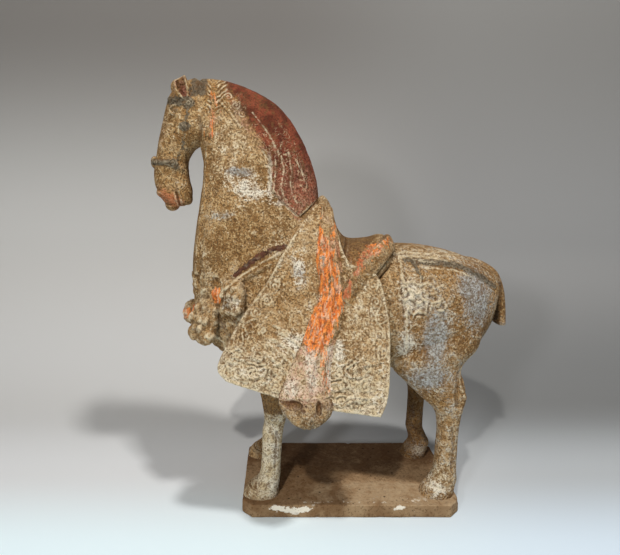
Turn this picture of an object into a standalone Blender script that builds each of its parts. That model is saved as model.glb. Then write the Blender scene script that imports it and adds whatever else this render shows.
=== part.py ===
"""A moulded pottery horse with saddle, mudguards and sash, standing on a low plinth.

The horse faces -X, its near side is -Y, and +Z is up. The origin is the centre of the
plinth's underside. The horse is one solid, and the plinth is another.
"""

import math

import bmesh
import bpy
import numpy as np
from mathutils import Matrix, Vector

# Driving dimensions, in metres
HORSE_HEIGHT = 0.367            # soles to the top of the arched crest
MUDGUARD_THICKNESS = 0.0046     # slab of each mudguard
MANE_RELIEF = 0.0016            # how far the mane stands above the neck
STRAP_RELIEF = 0.0010           # how far the raised straps stand out
PLINTH_TOE_MARGIN = 0.0004      # plinth in front of the fore hooves
PLINTH_HEEL_MARGIN = 0.0026     # plinth behind the hind hooves
PLINTH_SIDE_MARGIN = 0.0075     # plinth beside the hooves
PLINTH_THICKNESS = 0.012
PLINTH_CORNER_CUT = 0.009       # each upright corner is cut off flat
PLINTH_EDGE_ROUND = 0.0008
SOLE_GAP = 0.0003               # clearance between the soles and the plinth

# The form is laid out in parts, and the horse is 367 parts high
PART = HORSE_HEIGHT / 367.0
CLAY_GRAIN = 1.3 * PART         # size of the grid that fuses the forms into one skin
TRIANGLE_BUDGET = 9300
RING_POINTS = 40
FAIRING = 4                     # in-between sections for each pair of given ones

# Trunk and neck, from the rump to the poll:
# back or crest (x, z), belly, chest or throat (x, z), half width, narrowing of the upper side
TRUNK = [
    (136, 190, 129, 160, 14, 0.0),
    (131, 200, 122, 140, 30, 0.0),
    (112, 210, 106, 124, 43, 0.0),
    (82, 220, 78, 116, 51, 0.04),
    (48, 224, 46, 112, 52, 0.10),
    (10, 221, 8, 110, 52, 0.10),
    (-22, 226, -30, 110, 52, 0.12),
    (-27, 244, -68, 111, 51, 0.15),
    (-27, 262, -104, 119, 48, 0.20),
    (-29, 280, -129, 140, 44, 0.24),
    (-35, 300, -139, 172, 39, 0.26),
    (-45, 321, -140, 204, 35, 0.26),
    (-59, 340, -137, 232, 31, 0.24),
    (-76, 352, -132, 262, 27, 0.22),
    (-94, 360, -128, 288, 24, 0.18),
    (-112, 365, -130, 306, 21, 0.10),
    (-128, 366, -134, 326, 16, 0.0),
]

# Head, from the poll to the lips: face (x, z), jaw (x, z), half width, narrowing of the face
HEAD = [
    (-134, 367, -112, 350, 11, 0.0),
    (-147, 362, -110, 334, 16, 0.0),
    (-156, 353, -114, 319, 19, 0.05),
    (-160, 342, -122, 311, 19, 0.10),
    (-164, 327, -134, 308, 17, 0.10),
    (-167.5, 313, -141, 299, 14.5, 0.08),
    (-170, 301, -142.5, 290, 13, 0.05),
    (-172.5, 289, -141.5, 280, 12.5, 0.05),
    (-172, 277, -139.5, 271, 12.5, 0.0),
    (-168, 266, -141, 262, 11.5, 0.0),
    (-161.5, 257.5, -147, 257.5, 7, 0.0),
]

# Legs, from the trunk to below the sole: height, middle x, half length, half width, middle y
FORELEG = [
    (168, -84, 30, 15, 30),
    (140, -76, 25, 18, 32),
    (118, -69, 18, 15, 33),
    (96, -66, 13, 12, 34),
    (72, -65.5, 9.8, 9.6, 35),
    (60, -67.5, 9.2, 9.0, 35.5),
    (38, -69.5, 9.4, 9.2, 36),
    (22, -70.5, 10.6, 10.4, 36),
    (13, -73, 12.5, 12.0, 36),
    (6, -77.5, 15.5, 13.5, 36),
    (0, -78.5, 16.0, 14.0, 36),
    (-4, -78.5, 16.0, 14.0, 36),
]
HIND_LEG = [
    (178, 88, 28, 12, 24),
    (158, 82, 36, 18, 28),
    (138, 74, 38, 20, 31),
    (121, 67, 31, 18.5, 33),
    (106, 74.5, 25.5, 16, 34),
    (92, 83.5, 20, 13.5, 35),
    (81, 88, 13, 11.5, 35.5),
    (68, 89, 9.8, 9.8, 36),
    (42, 88.3, 9.4, 9.4, 36),
    (24, 87.8, 10.2, 10.4, 36),
    (15, 87, 11.8, 11.8, 36),
    (7, 83.5, 13.8, 13.2, 36),
    (0, 81, 14.8, 14.0, 36),
    (-4, 81, 14.8, 14.0, 36),
]

FAR_HIND_LEAD = 5.0             # the far hind leg stands with its shank further forward

# The plinth reaches round the hooves, and the origin is its middle
FORE_SOLE = FORELEG[-1]
HIND_SOLE = HIND_LEG[-1]
PLINTH_FRONT = (FORE_SOLE[1] - FORE_SOLE[2]) * PART - PLINTH_TOE_MARGIN
PLINTH_REAR = (HIND_SOLE[1] + HIND_SOLE[2]) * PART + PLINTH_HEEL_MARGIN
PLINTH_LENGTH = PLINTH_REAR - PLINTH_FRONT
PLINTH_DEPTH = 2 * ((FORE_SOLE[4] + FORE_SOLE[3]) * PART + PLINTH_SIDE_MARGIN)
HORSE_SETBACK = -(PLINTH_FRONT + PLINTH_REAR) / 2

# Mudguard: front edge (x, z), rear edge (x, z), from the pommel down to the hem
MUDGUARD_EDGES = [
    (-31, 260, -16, 257),
    (-44, 243, -13, 238),
    (-58, 222, -4, 214),
    (-73, 196, 19, 203),
    (-88, 176, 27, 172),
    (-101, 155, 27.5, 143),
    (-111, 133, 25, 112),
    (-104, 123, 19, 96),
]
MUDGUARD_SAG = 4.0              # how far the hem bows down between its corners
# How far the outside of the mudguard stands from the middle plane, by height
FLARE = [(60, 94), (100, 88), (120, 82), (140, 75), (160, 67), (180, 60),
         (200, 53.5), (220, 47), (240, 38), (252, 30), (260, 20), (268, 8)]

# Mane: its lower edge on the side of the neck (x, z), from the poll to the withers
MANE_EDGE = [(-114, 352), (-107, 343), (-98, 333), (-88, 317), (-77, 306), (-69, 296),
             (-70, 283), (-68, 271), (-54, 257), (-40, 246)]
MANE_FOOT = ((-47, 248), (-30, 263))    # where the saddle cuts the mane off
MANE_LOCK_WIDTH = 8.5
MANE_LOCK_DEPTH = 0.9
MANE_CREST_BLEND = 11.0         # the mane's thickness fades out towards the crest
# Hollow ends of the folds in the sash: middle (x, z), half sizes (x, z), depth
FOLD_HOLLOWS = [((-51.5, 108), (8.5, 3.8), 4.5), ((-30.5, 106), (2.6, 5.5), 4.0)]
# Raised welts of the harness behind the saddle: points (x, z) seen from the side
WELTS = [
    [(41, 222), (42, 205), (43, 182), (46, 139)],
    [(44, 215), (63, 211), (81, 210), (96, 205), (113, 197), (124, 190)],
]
WELT_HALF_WIDTH = 2.6

# Saddle, from the pommel to the cantle: ridge (x, z), underside (x, z), half width, narrowing
SADDLE = [
    (-33, 250, -42, 190, 33, 0.45),
    (-30, 261, -38, 188, 38, 0.45),
    (-23, 267, -32, 186, 40, 0.42),
    (-16, 258, -24, 184, 41, 0.36),
    (-10, 239, -16, 182, 45, 0.20),
    (0, 229, -8, 176, 48, 0.10),
    (18, 227, 4, 172, 49, 0.10),
    (28, 227, 10, 178, 47, 0.12),
    (34, 224, 18, 190, 44, 0.14),
    (38, 218, 26, 200, 38, 0.14),
]
# Cantle rim, as points (x, distance from the middle, z), and half its thickness
CANTLE = [(36.5, 0, 227.5), (36, 16, 228), (33, 32, 226.5), (27, 41.5, 220), (17, 46.5, 210),
          (6, 50, 200), (-9, 54, 188)]
CANTLE_HALF_THICKNESS = 4.4

# Sash: left edge (x, z), right edge (x, z), how far it stands off the mudguard
SASH = [
    (-27, 258, -17, 258, 1.5),
    (-28, 240, -14, 241, 3.0),
    (-31, 216, -11, 216, 4.0),
    (-29, 193, -8, 193, 4.5),
    (-37, 166, -9, 170, 4.5),
    (-42, 153, -16, 154, 5.0),
    (-52, 132, -21, 134, 6.0),
    (-61, 112, -21, 112, 8.0),
    (-60, 101, -19, 102, 11.0),
    (-53, 93, -24, 94, 10.0),
    (-44, 88.5, -31, 88.5, 5.0),
]
SASH_PLEATS = 3
SASH_PLEAT_DEPTH = 1.3

# Breast strap: points (x, z) seen from the side, from the mudguard to the middle of the chest
BREAST_STRAP = [(-62, 214, 40), (-76, 208, 43), (-92, 200, 43.5), (-110, 188, 38), (-126, 175, 27),
                (-138, 165, 12), (-141, 162, 0)]
# Pendants: top (x, y, z), direction round the chest in degrees, width, length, outward tilt
PENDANTS = [
    ((-97, 44, 194), 62, 24, 32, 14),
    ((-121, 31, 176), 42, 33, 42, 14),
    ((-137, 0, 169), 0, 28, 29, 14),
]
PENDANT_THICKNESS = 13.0

# Ears, cheek pieces and lips
EAR_LENGTH = 25.0
EAR_HALF_WIDTH = 7.2
EAR_TURN = 40.0

# Tail: outer side (x, z), inner side (x, z), half width
TAIL = [
    (98, 213, 100, 200, 6),
    (114, 211, 112, 197, 8),
    (127, 206, 120, 193, 9),
    (137, 198, 127, 187, 9),
    (143.5, 183, 132.5, 178, 9),
    (146, 165, 137, 163, 9.5),
    (147, 149.5, 138.5, 149.5, 10),
]


def clear_scene():
    """Remove every object that the file starts with."""
    for old in list(bpy.data.objects):
        bpy.data.objects.remove(old, do_unlink=True)


def faired(rows, between=FAIRING):
    """Run a smooth curve through every column of a table of sections."""
    table = [tuple(float(v) for v in row) for row in rows]
    table = [table[0]] + table + [table[-1]]
    out = []
    for k in range(1, len(table) - 2):
        before, here, after, beyond = table[k - 1:k + 3]
        for step in range(between):
            t = step / between
            out.append(tuple(
                0.5 * (2 * b + (c - a) * t + (2 * a - 5 * b + 4 * c - d) * t * t
                       + (3 * b - a - 3 * c + d) * t ** 3)
                for a, b, c, d in zip(before, here, after, beyond)))
    out.append(table[-2])
    return out


def power(value, exponent):
    """Raise the size of a number and keep its sign."""
    return math.copysign(abs(value) ** exponent, value)


def ring(centre, long_axis, wide_axis, narrowing=0.0, squareness=0.86):
    """Points round one rounded section, narrower on the side that long_axis points to."""
    points = []
    for k in range(RING_POINTS):
        angle = 2 * math.pi * k / RING_POINTS
        along = power(math.cos(angle), squareness)
        across = power(math.sin(angle), squareness) * (1.0 - narrowing * along)
        points.append(Vector(centre) + Vector(long_axis) * along + Vector(wide_axis) * across)
    return points


def add_loft(soup, rings):
    """Skin a row of rings and close both ends."""
    levels = [[soup.verts.new(p * PART) for p in points] for points in rings]
    count = len(rings[0])
    for low, high in zip(levels, levels[1:]):
        for k in range(count):
            after = (k + 1) % count
            soup.faces.new((low[k], low[after], high[after], high[k]))
    soup.faces.new(list(reversed(levels[0])))
    soup.faces.new(levels[-1])


def add_profile_loft(soup, rows):
    """Loft sections that are given by an upper and a lower point of the side view."""
    rings = []
    for row in faired(rows):
        x_top, z_top, x_low, z_low, half_width = row[:5]
        narrowing = row[5] if len(row) > 5 else 0.0
        centre = ((x_top + x_low) / 2, 0, (z_top + z_low) / 2)
        long_axis = ((x_top - x_low) / 2, 0, (z_top - z_low) / 2)
        rings.append(ring(centre, long_axis, (0, half_width, 0), narrowing))
    add_loft(soup, rings)


def add_leg(soup, rows, side, lead=0.0):
    """Loft one leg from its level sections, with its shank leading the hoof by some parts."""
    rings = []
    for z, x, half_length, half_width, y in faired(rows):
        x -= lead * min(1.0, max(0.0, z - 14) / 16)
        rings.append(ring((x, side * y, z), (half_length, 0, 0), (0, half_width, 0)))
    add_loft(soup, rings)


def add_slab(soup, outer, inner):
    """Close the space between two grids of points that face each other."""
    rows = len(outer)
    columns = len(outer[0])
    front = [[soup.verts.new(p * PART) for p in line] for line in outer]
    back = [[soup.verts.new(p * PART) for p in line] for line in inner]
    for r in range(rows - 1):
        for c in range(columns - 1):
            soup.faces.new((front[r][c], front[r][c + 1], front[r + 1][c + 1], front[r + 1][c]))
            soup.faces.new((back[r][c], back[r + 1][c], back[r + 1][c + 1], back[r][c + 1]))
    for r in range(rows - 1):
        soup.faces.new((front[r][0], front[r + 1][0], back[r + 1][0], back[r][0]))
        soup.faces.new((front[r + 1][-1], front[r][-1], back[r][-1], back[r + 1][-1]))
    for c in range(columns - 1):
        soup.faces.new((front[0][c + 1], front[0][c], back[0][c], back[0][c + 1]))
        soup.faces.new((front[-1][c], front[-1][c + 1], back[-1][c + 1], back[-1][c]))


def add_ball(soup, place, size, turn=None):
    """Add an ellipsoid of the given half sizes, turned by an optional matrix."""
    matrix = Matrix.Translation(Vector(place) * PART)
    if turn is not None:
        matrix = matrix @ turn
    matrix = matrix @ Matrix.Diagonal((*(Vector(size) * PART), 1.0))
    bmesh.ops.create_uvsphere(soup, u_segments=20, v_segments=12, radius=1.0, matrix=matrix)


def add_cord(soup, points, radius):
    """Add a round bead along a path, as a chain of rings."""
    path = [Vector(p) for p in faired(points, 3)]
    rings = []
    for k, point in enumerate(path):
        ahead = path[min(k + 1, len(path) - 1)] - path[max(k - 1, 0)]
        ahead.normalize()
        side = ahead.cross(Vector((0, 1, 0)) if abs(ahead.y) < 0.9 else Vector((1, 0, 0)))
        side.normalize()
        other = ahead.cross(side)
        rings.append(ring(point, side * radius, other * radius, 0.0, 1.0))
    add_loft(soup, rings)


def flare(z):
    """How far out the mudguard's outside stands at a height."""
    heights = [h for h, _ in FLARE]
    spans = [s for _, s in FLARE]
    return float(np.interp(z, heights, spans))


def mudguard_point(s, row):
    """Side view place on the mudguard, from its front edge (0) to its rear edge (1)."""
    x_front, z_front, x_rear, z_rear, depth = row
    sag = MUDGUARD_SAG * depth * math.sin(math.pi * s)
    return x_front + (x_rear - x_front) * s, z_front + (z_rear - z_front) * s - sag


def add_mudguard(soup, side):
    """Add the stiff flared slab that hangs from the saddle."""
    last = len(MUDGUARD_EDGES) - 1
    rows = faired([edge + (k / last,) for k, edge in enumerate(MUDGUARD_EDGES)])
    wall = MUDGUARD_THICKNESS / PART
    outer = []
    inner = []
    for row in rows:
        places = [mudguard_point(c / 20, row) for c in range(21)]
        outer.append([Vector((x, side * flare(z), z)) for x, z in places])
        inner.append([Vector((x, side * (flare(z) - wall), z)) for x, z in places])
    if side > 0:
        outer, inner = inner, outer
    add_slab(soup, outer, inner)


def add_sash(soup, side):
    """Add the folded cloth that hangs over the mudguard and bulges at its end."""
    outer = []
    inner = []
    columns = 24
    for x_left, z_left, x_right, z_right, stand in faired(SASH):
        line = []
        under = []
        for c in range(columns + 1):
            s = c / columns
            x = x_left + (x_right - x_left) * s
            z = z_left + (z_right - z_left) * s
            swell = max(0.0, math.sin(math.pi * s)) ** 0.55
            pleat = SASH_PLEAT_DEPTH * math.cos(2 * math.pi * SASH_PLEATS * s) * swell
            line.append(Vector((x, side * (flare(z) + stand * swell - pleat), z)))
            under.append(Vector((x, side * (flare(z) - 2.0), z)))
        outer.append(line)
        inner.append(under)
    if side > 0:
        outer, inner = inner, outer
    add_slab(soup, outer, inner)


def add_pendant(soup, place, heading, width, length, tilt, side):
    """Add one leaf that hangs from the breast strap and stands off the chest."""
    x, y, z = place
    turn = Matrix.Rotation(math.radians(-side * heading), 4, 'Z')
    turn = turn @ Matrix.Rotation(math.radians(tilt), 4, 'Y')
    middle = Vector((x, side * y, z)) + turn @ Vector((-2, 0, -length * 0.42))
    add_ball(soup, middle, (PENDANT_THICKNESS / 2, width / 2, length / 2), turn)
    knob = Vector((x, side * y, z)) + turn @ Vector((-5, 0, -3))
    add_ball(soup, knob, (4, 4.6, 4.6), turn)


def add_ear(soup, side):
    """Add one cupped ear, open forwards and outwards."""
    outer = []
    inner = []
    levels = 8
    turn = Matrix.Rotation(side * math.radians(EAR_TURN), 3, 'Z')
    for r in range(levels + 1):
        t = r / levels
        half = EAR_HALF_WIDTH * math.sin(math.pi * (0.20 + 0.58 * t)) ** 0.8
        root = Vector((-139 - 4.0 * t, side * 14, 342 + EAR_LENGTH * t))
        shell = []
        hollow = []
        for c in range(13):
            angle = math.pi * (c / 12 - 0.5) * 1.2
            across = math.sin(angle) * half
            back = math.cos(angle) * half * 0.8
            shell.append(root + turn @ Vector((back, across, 0)))
            hollow.append(root + turn @ Vector((back * 0.55 - 2.4, across * 0.66, 0)))
        outer.append(shell)
        inner.append(hollow)
    add_slab(soup, outer, inner)


def add_head_details(soup):
    """Add ears, forelock, cheeks, eyes, noseband and browband."""
    for side in (-1, 1):
        add_ear(soup, side)
        add_ball(soup, (-127, side * 9, 325), (15, 10, 16))
        add_ball(soup, (-147, side * 14.6, 339), (5.8, 3.6, 4.0))
        add_ball(soup, (-164, side * 7.5, 271), (6, 5, 6))
        add_cord(soup, [(-171, 0, 296), (-168, side * 9, 296), (-157, side * 13.6, 295),
                        (-147, side * 10, 290), (-144, 0, 288)], 2.4)
        add_ball(soup, (-153, side * 13.5, 295), (4.6, 3.0, 4.6))
        add_cord(soup, [(-156, 0, 352), (-154, side * 10, 350), (-147, side * 17, 347.5),
                        (-134, side * 17.5, 346)], 2.6)
        add_ball(soup, (-134, side * 17, 346), (5, 3.2, 5))
        add_cord(soup, [(-134, side * 17.5, 346), (-137, side * 19.2, 335),
                        (-141, side * 18.5, 325), (-147, side * 15.5, 308),
                        (-153, side * 13.5, 296)], 1.7)
        add_ball(soup, (-141, side * 17.5, 325), (5.2, 3.6, 5.2))
    add_ball(soup, (-172, 0, 296), (3.4, 5.4, 5.4))
    add_ball(soup, (-149, 0, 359), (6.5, 8, 7))
    add_ball(soup, (-157.5, 0, 259), (6.5, 8, 6))
    add_ball(soup, (-144, 0, 264), (4.5, 8, 5.5))


def add_tail(soup):
    """Add the arched tail that ends in a clean square cut."""
    rings = []
    for x_out, z_out, x_in, z_in, half_width in faired(TAIL):
        centre = ((x_out + x_in) / 2, 0, (z_out + z_in) / 2)
        long_axis = ((x_out - x_in) / 2, 0, (z_out - z_in) / 2)
        rings.append(ring(centre, long_axis, (0, half_width, 0), 0.0, 0.75))
    add_loft(soup, rings)


def add_cantle(soup):
    """Add the raised rim that closes the back of the seat."""
    far_side = [(x, y, z) for x, y, z in reversed(CANTLE[1:])]
    near_side = [(x, -y, z) for x, y, z in CANTLE]
    add_cord(soup, far_side + near_side, CANTLE_HALF_THICKNESS)


def add_harness(soup):
    """Add the breast strap with its pendants and knobs."""
    for side in (-1, 1):
        add_cord(soup, [(x, side * y, z) for x, z, y in BREAST_STRAP], 3.2)
        for place, heading, width, length, tilt in PENDANTS:
            if place[1] or side < 0:
                add_pendant(soup, place, heading, width, length, tilt, side)


def build_soup():
    """Return one mesh that holds all the overlapping forms of the horse."""
    soup = bmesh.new()
    add_profile_loft(soup, TRUNK)
    add_profile_loft(soup, HEAD)
    add_profile_loft(soup, SADDLE)
    add_cantle(soup)
    add_head_details(soup)
    add_tail(soup)
    add_harness(soup)
    for side in (-1, 1):
        add_leg(soup, FORELEG, side)
        add_leg(soup, HIND_LEG, side, FAR_HIND_LEAD if side > 0 else 0.0)
        add_ball(soup, (-88, side * 29, 160), (30, 20, 32))
        add_ball(soup, (84, side * 24, 158), (32, 25, 32))
        add_mudguard(soup, side)
        add_sash(soup, side)
    bmesh.ops.recalc_face_normals(soup, faces=soup.faces[:])
    mesh = bpy.data.meshes.new("forms")
    soup.to_mesh(mesh)
    soup.free()
    return mesh


def apply_modifiers(thing):
    """Bake an object's modifiers into its mesh."""
    graph = bpy.context.evaluated_depsgraph_get()
    baked = bpy.data.meshes.new_from_object(thing.evaluated_get(graph))
    thing.modifiers.clear()
    thing.data = baked


def fuse(thing):
    """Fuse the forms into one skin on a fine grid and soften the grid's steps."""
    skin = thing.modifiers.new("Fuse", 'REMESH')
    skin.mode = 'VOXEL'
    skin.voxel_size = CLAY_GRAIN
    soft = thing.modifiers.new("Soften", 'SMOOTH')
    soft.factor = 0.5
    soft.iterations = 3
    apply_modifiers(thing)


def distance_to(path, x, z):
    """Distance of side view points from a path of straight runs, and their side of it."""
    nearest = np.full(len(x), np.inf)
    side_of = np.zeros(len(x))
    for (x0, z0), (x1, z1) in zip(path, path[1:]):
        run = np.array((x1 - x0, z1 - z0), float)
        size = float(run @ run)
        t = np.clip(((x - x0) * run[0] + (z - z0) * run[1]) / size, 0.0, 1.0)
        gap_x = x - x0 - t * run[0]
        gap_z = z - z0 - t * run[1]
        gap = np.hypot(gap_x, gap_z)
        closer = gap < nearest
        nearest = np.where(closer, gap, nearest)
        side_of = np.where(closer, np.sign(run[0] * gap_z - run[1] * gap_x), side_of)
    return nearest, side_of


def carve(thing):
    """Raise the mane and the harness welts on the fused skin, and hollow the sash's folds."""
    mesh = thing.data
    count = len(mesh.vertices)
    places = np.empty(count * 3)
    normals = np.empty(count * 3)
    mesh.vertices.foreach_get("co", places)
    mesh.vertices.foreach_get("normal", normals)
    places = places.reshape(-1, 3)
    normals = normals.reshape(-1, 3)
    x, y, z = (places / PART).T
    below_crest, _ = distance_to([row[:2] for row in TRUNK[6:]], x, z)
    inside_edge, above_edge = distance_to(MANE_EDGE, x, z)
    _, before_foot = distance_to(MANE_FOOT, x, z)
    on_mane = (above_edge > 0) & (before_foot > 0) & (x > -121) & (np.abs(y) < 40)
    lift = np.clip(inside_edge / 1.5, 0.0, 1.0) * np.clip(below_crest / MANE_CREST_BLEND, 0, 1)
    lock = np.cos(2 * math.pi * below_crest / MANE_LOCK_WIDTH) * MANE_LOCK_DEPTH * PART
    rise = np.where(on_mane, lift * (MANE_RELIEF + lock), 0.0)
    for path in WELTS:
        off, _ = distance_to(path, x, z)
        on_body = (np.abs(y) < 54) & (np.abs(y) > 3)
        bead = np.clip(1.0 - (off / WELT_HALF_WIDTH) ** 2, 0.0, 1.0)
        rise = rise + np.where(on_body, STRAP_RELIEF * bead, 0.0)
    for (x_mid, z_mid), (half_x, half_z), depth in FOLD_HOLLOWS:
        spread = ((x - x_mid) / half_x) ** 2 + ((z - z_mid) / half_z) ** 2
        dent = np.clip(1.0 - spread ** 2, 0.0, 1.0) * (np.abs(y) > 88)
        rise = rise - dent * depth * PART
    mesh.vertices.foreach_set("co", (places + normals * rise[:, None]).ravel())
    mesh.update()


def thin_out(thing):
    """Bring the skin down to its budget of triangles."""
    thing.data.calc_loop_triangles()
    ratio = min(1.0, TRIANGLE_BUDGET / len(thing.data.loop_triangles))
    coarse = thing.modifiers.new("Thin out", 'DECIMATE')
    coarse.ratio = ratio
    coarse.use_collapse_triangulate = True
    apply_modifiers(thing)


def cut_soles(thing):
    """Cut the legs off flat, so that the soles lie in one plane."""
    body = bmesh.new()
    body.from_mesh(thing.data)
    everything = body.verts[:] + body.edges[:] + body.faces[:]
    cut = bmesh.ops.bisect_plane(body, geom=everything, plane_co=(0, 0, 0),
                                 plane_no=(0, 0, -1), clear_outer=True)
    rim = [e for e in cut['geom_cut'] if isinstance(e, bmesh.types.BMEdge)]
    bmesh.ops.holes_fill(body, edges=rim, sides=0)
    bmesh.ops.triangulate(body, faces=[f for f in body.faces if len(f.verts) > 3])
    bmesh.ops.recalc_face_normals(body, faces=body.faces[:])
    body.to_mesh(thing.data)
    body.free()


def clay(name, colour, roughness):
    """Make a plain fired clay material."""
    material = bpy.data.materials.new(name)
    material.use_nodes = True
    shader = material.node_tree.nodes["Principled BSDF"]
    shader.inputs["Base Color"].default_value = (*colour, 1.0)
    shader.inputs["Roughness"].default_value = roughness
    shader.inputs["Metallic"].default_value = 0.0
    material.diffuse_color = (*colour, 1.0)
    return material


def build_horse(collection):
    """Make the horse as one solid, with its soles just above the plinth."""
    horse = bpy.data.objects.new("horse", build_soup())
    collection.objects.link(horse)
    fuse(horse)
    carve(horse)
    thin_out(horse)
    cut_soles(horse)
    horse.data.shade_smooth()
    horse.data.materials.append(clay("painted pottery", (0.42, 0.30, 0.16), 0.9))
    horse.location = (HORSE_SETBACK, 0.0, PLINTH_THICKNESS + SOLE_GAP)
    return horse


def build_plinth(collection):
    """Make the low slab with its four corners cut off."""
    half_length = PLINTH_LENGTH / 2
    half_depth = PLINTH_DEPTH / 2
    slab = bmesh.new()
    size = Matrix.Diagonal((PLINTH_LENGTH, PLINTH_DEPTH, PLINTH_THICKNESS, 1.0))
    lift = Matrix.Translation((0, 0, PLINTH_THICKNESS / 2))
    bmesh.ops.create_cube(slab, size=1.0, matrix=lift @ size)
    for sign_x in (-1, 1):
        for sign_y in (-1, 1):
            place = Vector((sign_x * (half_length - PLINTH_CORNER_CUT), sign_y * half_depth, 0))
            everything = slab.verts[:] + slab.edges[:] + slab.faces[:]
            cut = bmesh.ops.bisect_plane(slab, geom=everything, plane_co=place,
                                         plane_no=(sign_x, sign_y, 0), clear_outer=True)
            rim = [e for e in cut['geom_cut'] if isinstance(e, bmesh.types.BMEdge)]
            bmesh.ops.holes_fill(slab, edges=rim, sides=0)
    mesh = bpy.data.meshes.new("plinth")
    slab.to_mesh(mesh)
    slab.free()
    plinth = bpy.data.objects.new("plinth", mesh)
    collection.objects.link(plinth)
    edge = plinth.modifiers.new("Soft edges", 'BEVEL')
    edge.width = PLINTH_EDGE_ROUND
    edge.segments = 2
    edge.limit_method = 'ANGLE'
    plinth.data.materials.append(clay("bare pottery", (0.36, 0.24, 0.13), 0.9))
    return plinth


def main():
    """Build the horse and its plinth."""
    clear_scene()
    collection = bpy.data.collections.new("pottery horse")
    bpy.context.scene.collection.children.link(collection)
    build_plinth(collection)
    build_horse(collection)


main()
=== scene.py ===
"""Looks of the moulded pottery horse: relief, slip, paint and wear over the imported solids.

The horse faces -X and its near side is -Y. Forms are laid out in parts: the horse is 367
parts high from its soles to its crest, and a part is close to a millimetre.
"""

import math

import bmesh
import bpy
import numpy as np
from mathutils import Matrix, Vector


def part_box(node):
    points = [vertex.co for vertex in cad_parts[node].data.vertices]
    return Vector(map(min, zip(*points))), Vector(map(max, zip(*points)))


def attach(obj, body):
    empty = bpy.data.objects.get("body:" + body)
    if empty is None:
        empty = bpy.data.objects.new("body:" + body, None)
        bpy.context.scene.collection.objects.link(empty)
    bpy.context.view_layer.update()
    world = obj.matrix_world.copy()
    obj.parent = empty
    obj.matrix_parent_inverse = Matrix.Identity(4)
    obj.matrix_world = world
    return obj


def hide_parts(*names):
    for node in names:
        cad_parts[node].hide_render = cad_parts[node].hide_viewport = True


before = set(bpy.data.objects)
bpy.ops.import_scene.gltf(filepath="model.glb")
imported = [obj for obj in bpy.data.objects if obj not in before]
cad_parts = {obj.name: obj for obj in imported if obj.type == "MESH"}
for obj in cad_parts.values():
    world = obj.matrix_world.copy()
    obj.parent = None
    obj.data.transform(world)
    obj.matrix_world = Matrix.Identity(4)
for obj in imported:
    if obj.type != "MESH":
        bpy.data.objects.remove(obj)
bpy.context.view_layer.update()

HORSE_LOW, HORSE_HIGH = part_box("horse")
PLINTH_LOW, PLINTH_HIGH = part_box("plinth")

HORSE_PARTS = 367.0             # soles to the top of the arched crest, in parts
PART = (HORSE_HIGH.z - HORSE_LOW.z) / HORSE_PARTS
TOE_MARGIN = 0.0004             # plinth in front of the fore hooves, in metres
TOE_X = -94.5                   # front of the fore hooves, in parts
HORSE_X = PLINTH_LOW.x + TOE_MARGIN - TOE_X * PART
HORSE_ORIGIN = (HORSE_X, 0.0, HORSE_LOW.z)

RING_POINTS = 112
FAIRING = 9
BALL_RINGS = 24
BODY_GRAIN = 0.00062            # grid that fuses the forms, in metres
GUARD_GRAIN = 0.00052
SADDLE_GRAIN = 0.00062
PLINTH_GRAIN = 0.00085
HEAD_TRIANGLES = 195000
CHEST_TRIANGLES = 135000
REAR_TRIANGLES = 180000
NEAR_GUARD_TRIANGLES = 195000
FAR_GUARD_TRIANGLES = 85000
SADDLE_TRIANGLES = 60000
PLINTH_TRIANGLES = 80000
BODY_SPLIT_X = -8.0             # the body is cut here, under the saddle
NECK_SPLIT_Z = 239.0            # the head and neck part from the chest here
SPLIT_LAP = 0.5                 # the pieces of the body reach this far into each other
SEAM_BLIND = 1.3                # hollows are not counted this near a cut
SHORT_EDGE = 3.0                # longer edges cross a flat cut and tell nothing of hollows

# Trunk and neck, from the rump to the poll:
# back or crest (x, z), belly, chest or throat (x, z), half width, narrowing of the upper side
TRUNK = [
    (136, 190, 129, 160, 14, 0.0),
    (131, 200, 122, 140, 30, 0.0),
    (112, 210, 106, 124, 43, 0.0),
    (82, 220, 78, 116, 51, 0.04),
    (48, 224, 46, 112, 52, 0.10),
    (10, 221, 8, 110, 52, 0.10),
    (-22, 226, -30, 110, 52, 0.12),
    (-27, 244, -68, 111, 51, 0.15),
    (-27, 262, -104, 119, 48, 0.20),
    (-29, 280, -129, 140, 44, 0.24),
    (-35, 300, -139, 172, 39, 0.26),
    (-45, 321, -140, 204, 35, 0.26),
    (-59, 340, -137, 232, 31, 0.24),
    (-76, 352, -132, 262, 27, 0.22),
    (-94, 360, -128, 288, 24, 0.18),
    (-112, 365, -130, 306, 21, 0.10),
    (-128, 366, -134, 326, 16, 0.0),
]
CREST = [row[:2] for row in TRUNK[6:]]
CROUP = [row[:2] for row in TRUNK[:6]]

# Head, from the poll to the lips: face (x, z), jaw (x, z), half width, narrowing of the face
HEAD = [
    (-134, 367, -112, 350, 11, 0.0),
    (-147, 362, -110, 334, 16, 0.0),
    (-156, 353, -114, 319, 19, 0.05),
    (-160, 342, -122, 311, 19, 0.10),
    (-164, 327, -134, 308, 17, 0.10),
    (-167.5, 313, -141, 299, 14.5, 0.08),
    (-170, 301, -142.5, 290, 13, 0.05),
    (-172.5, 289, -141.5, 280, 12.5, 0.05),
    (-172, 277, -139.5, 271, 12.5, 0.0),
    (-168, 266, -141, 262, 11.5, 0.0),
    (-161.5, 257.5, -147, 257.5, 7, 0.0),
]

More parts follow.
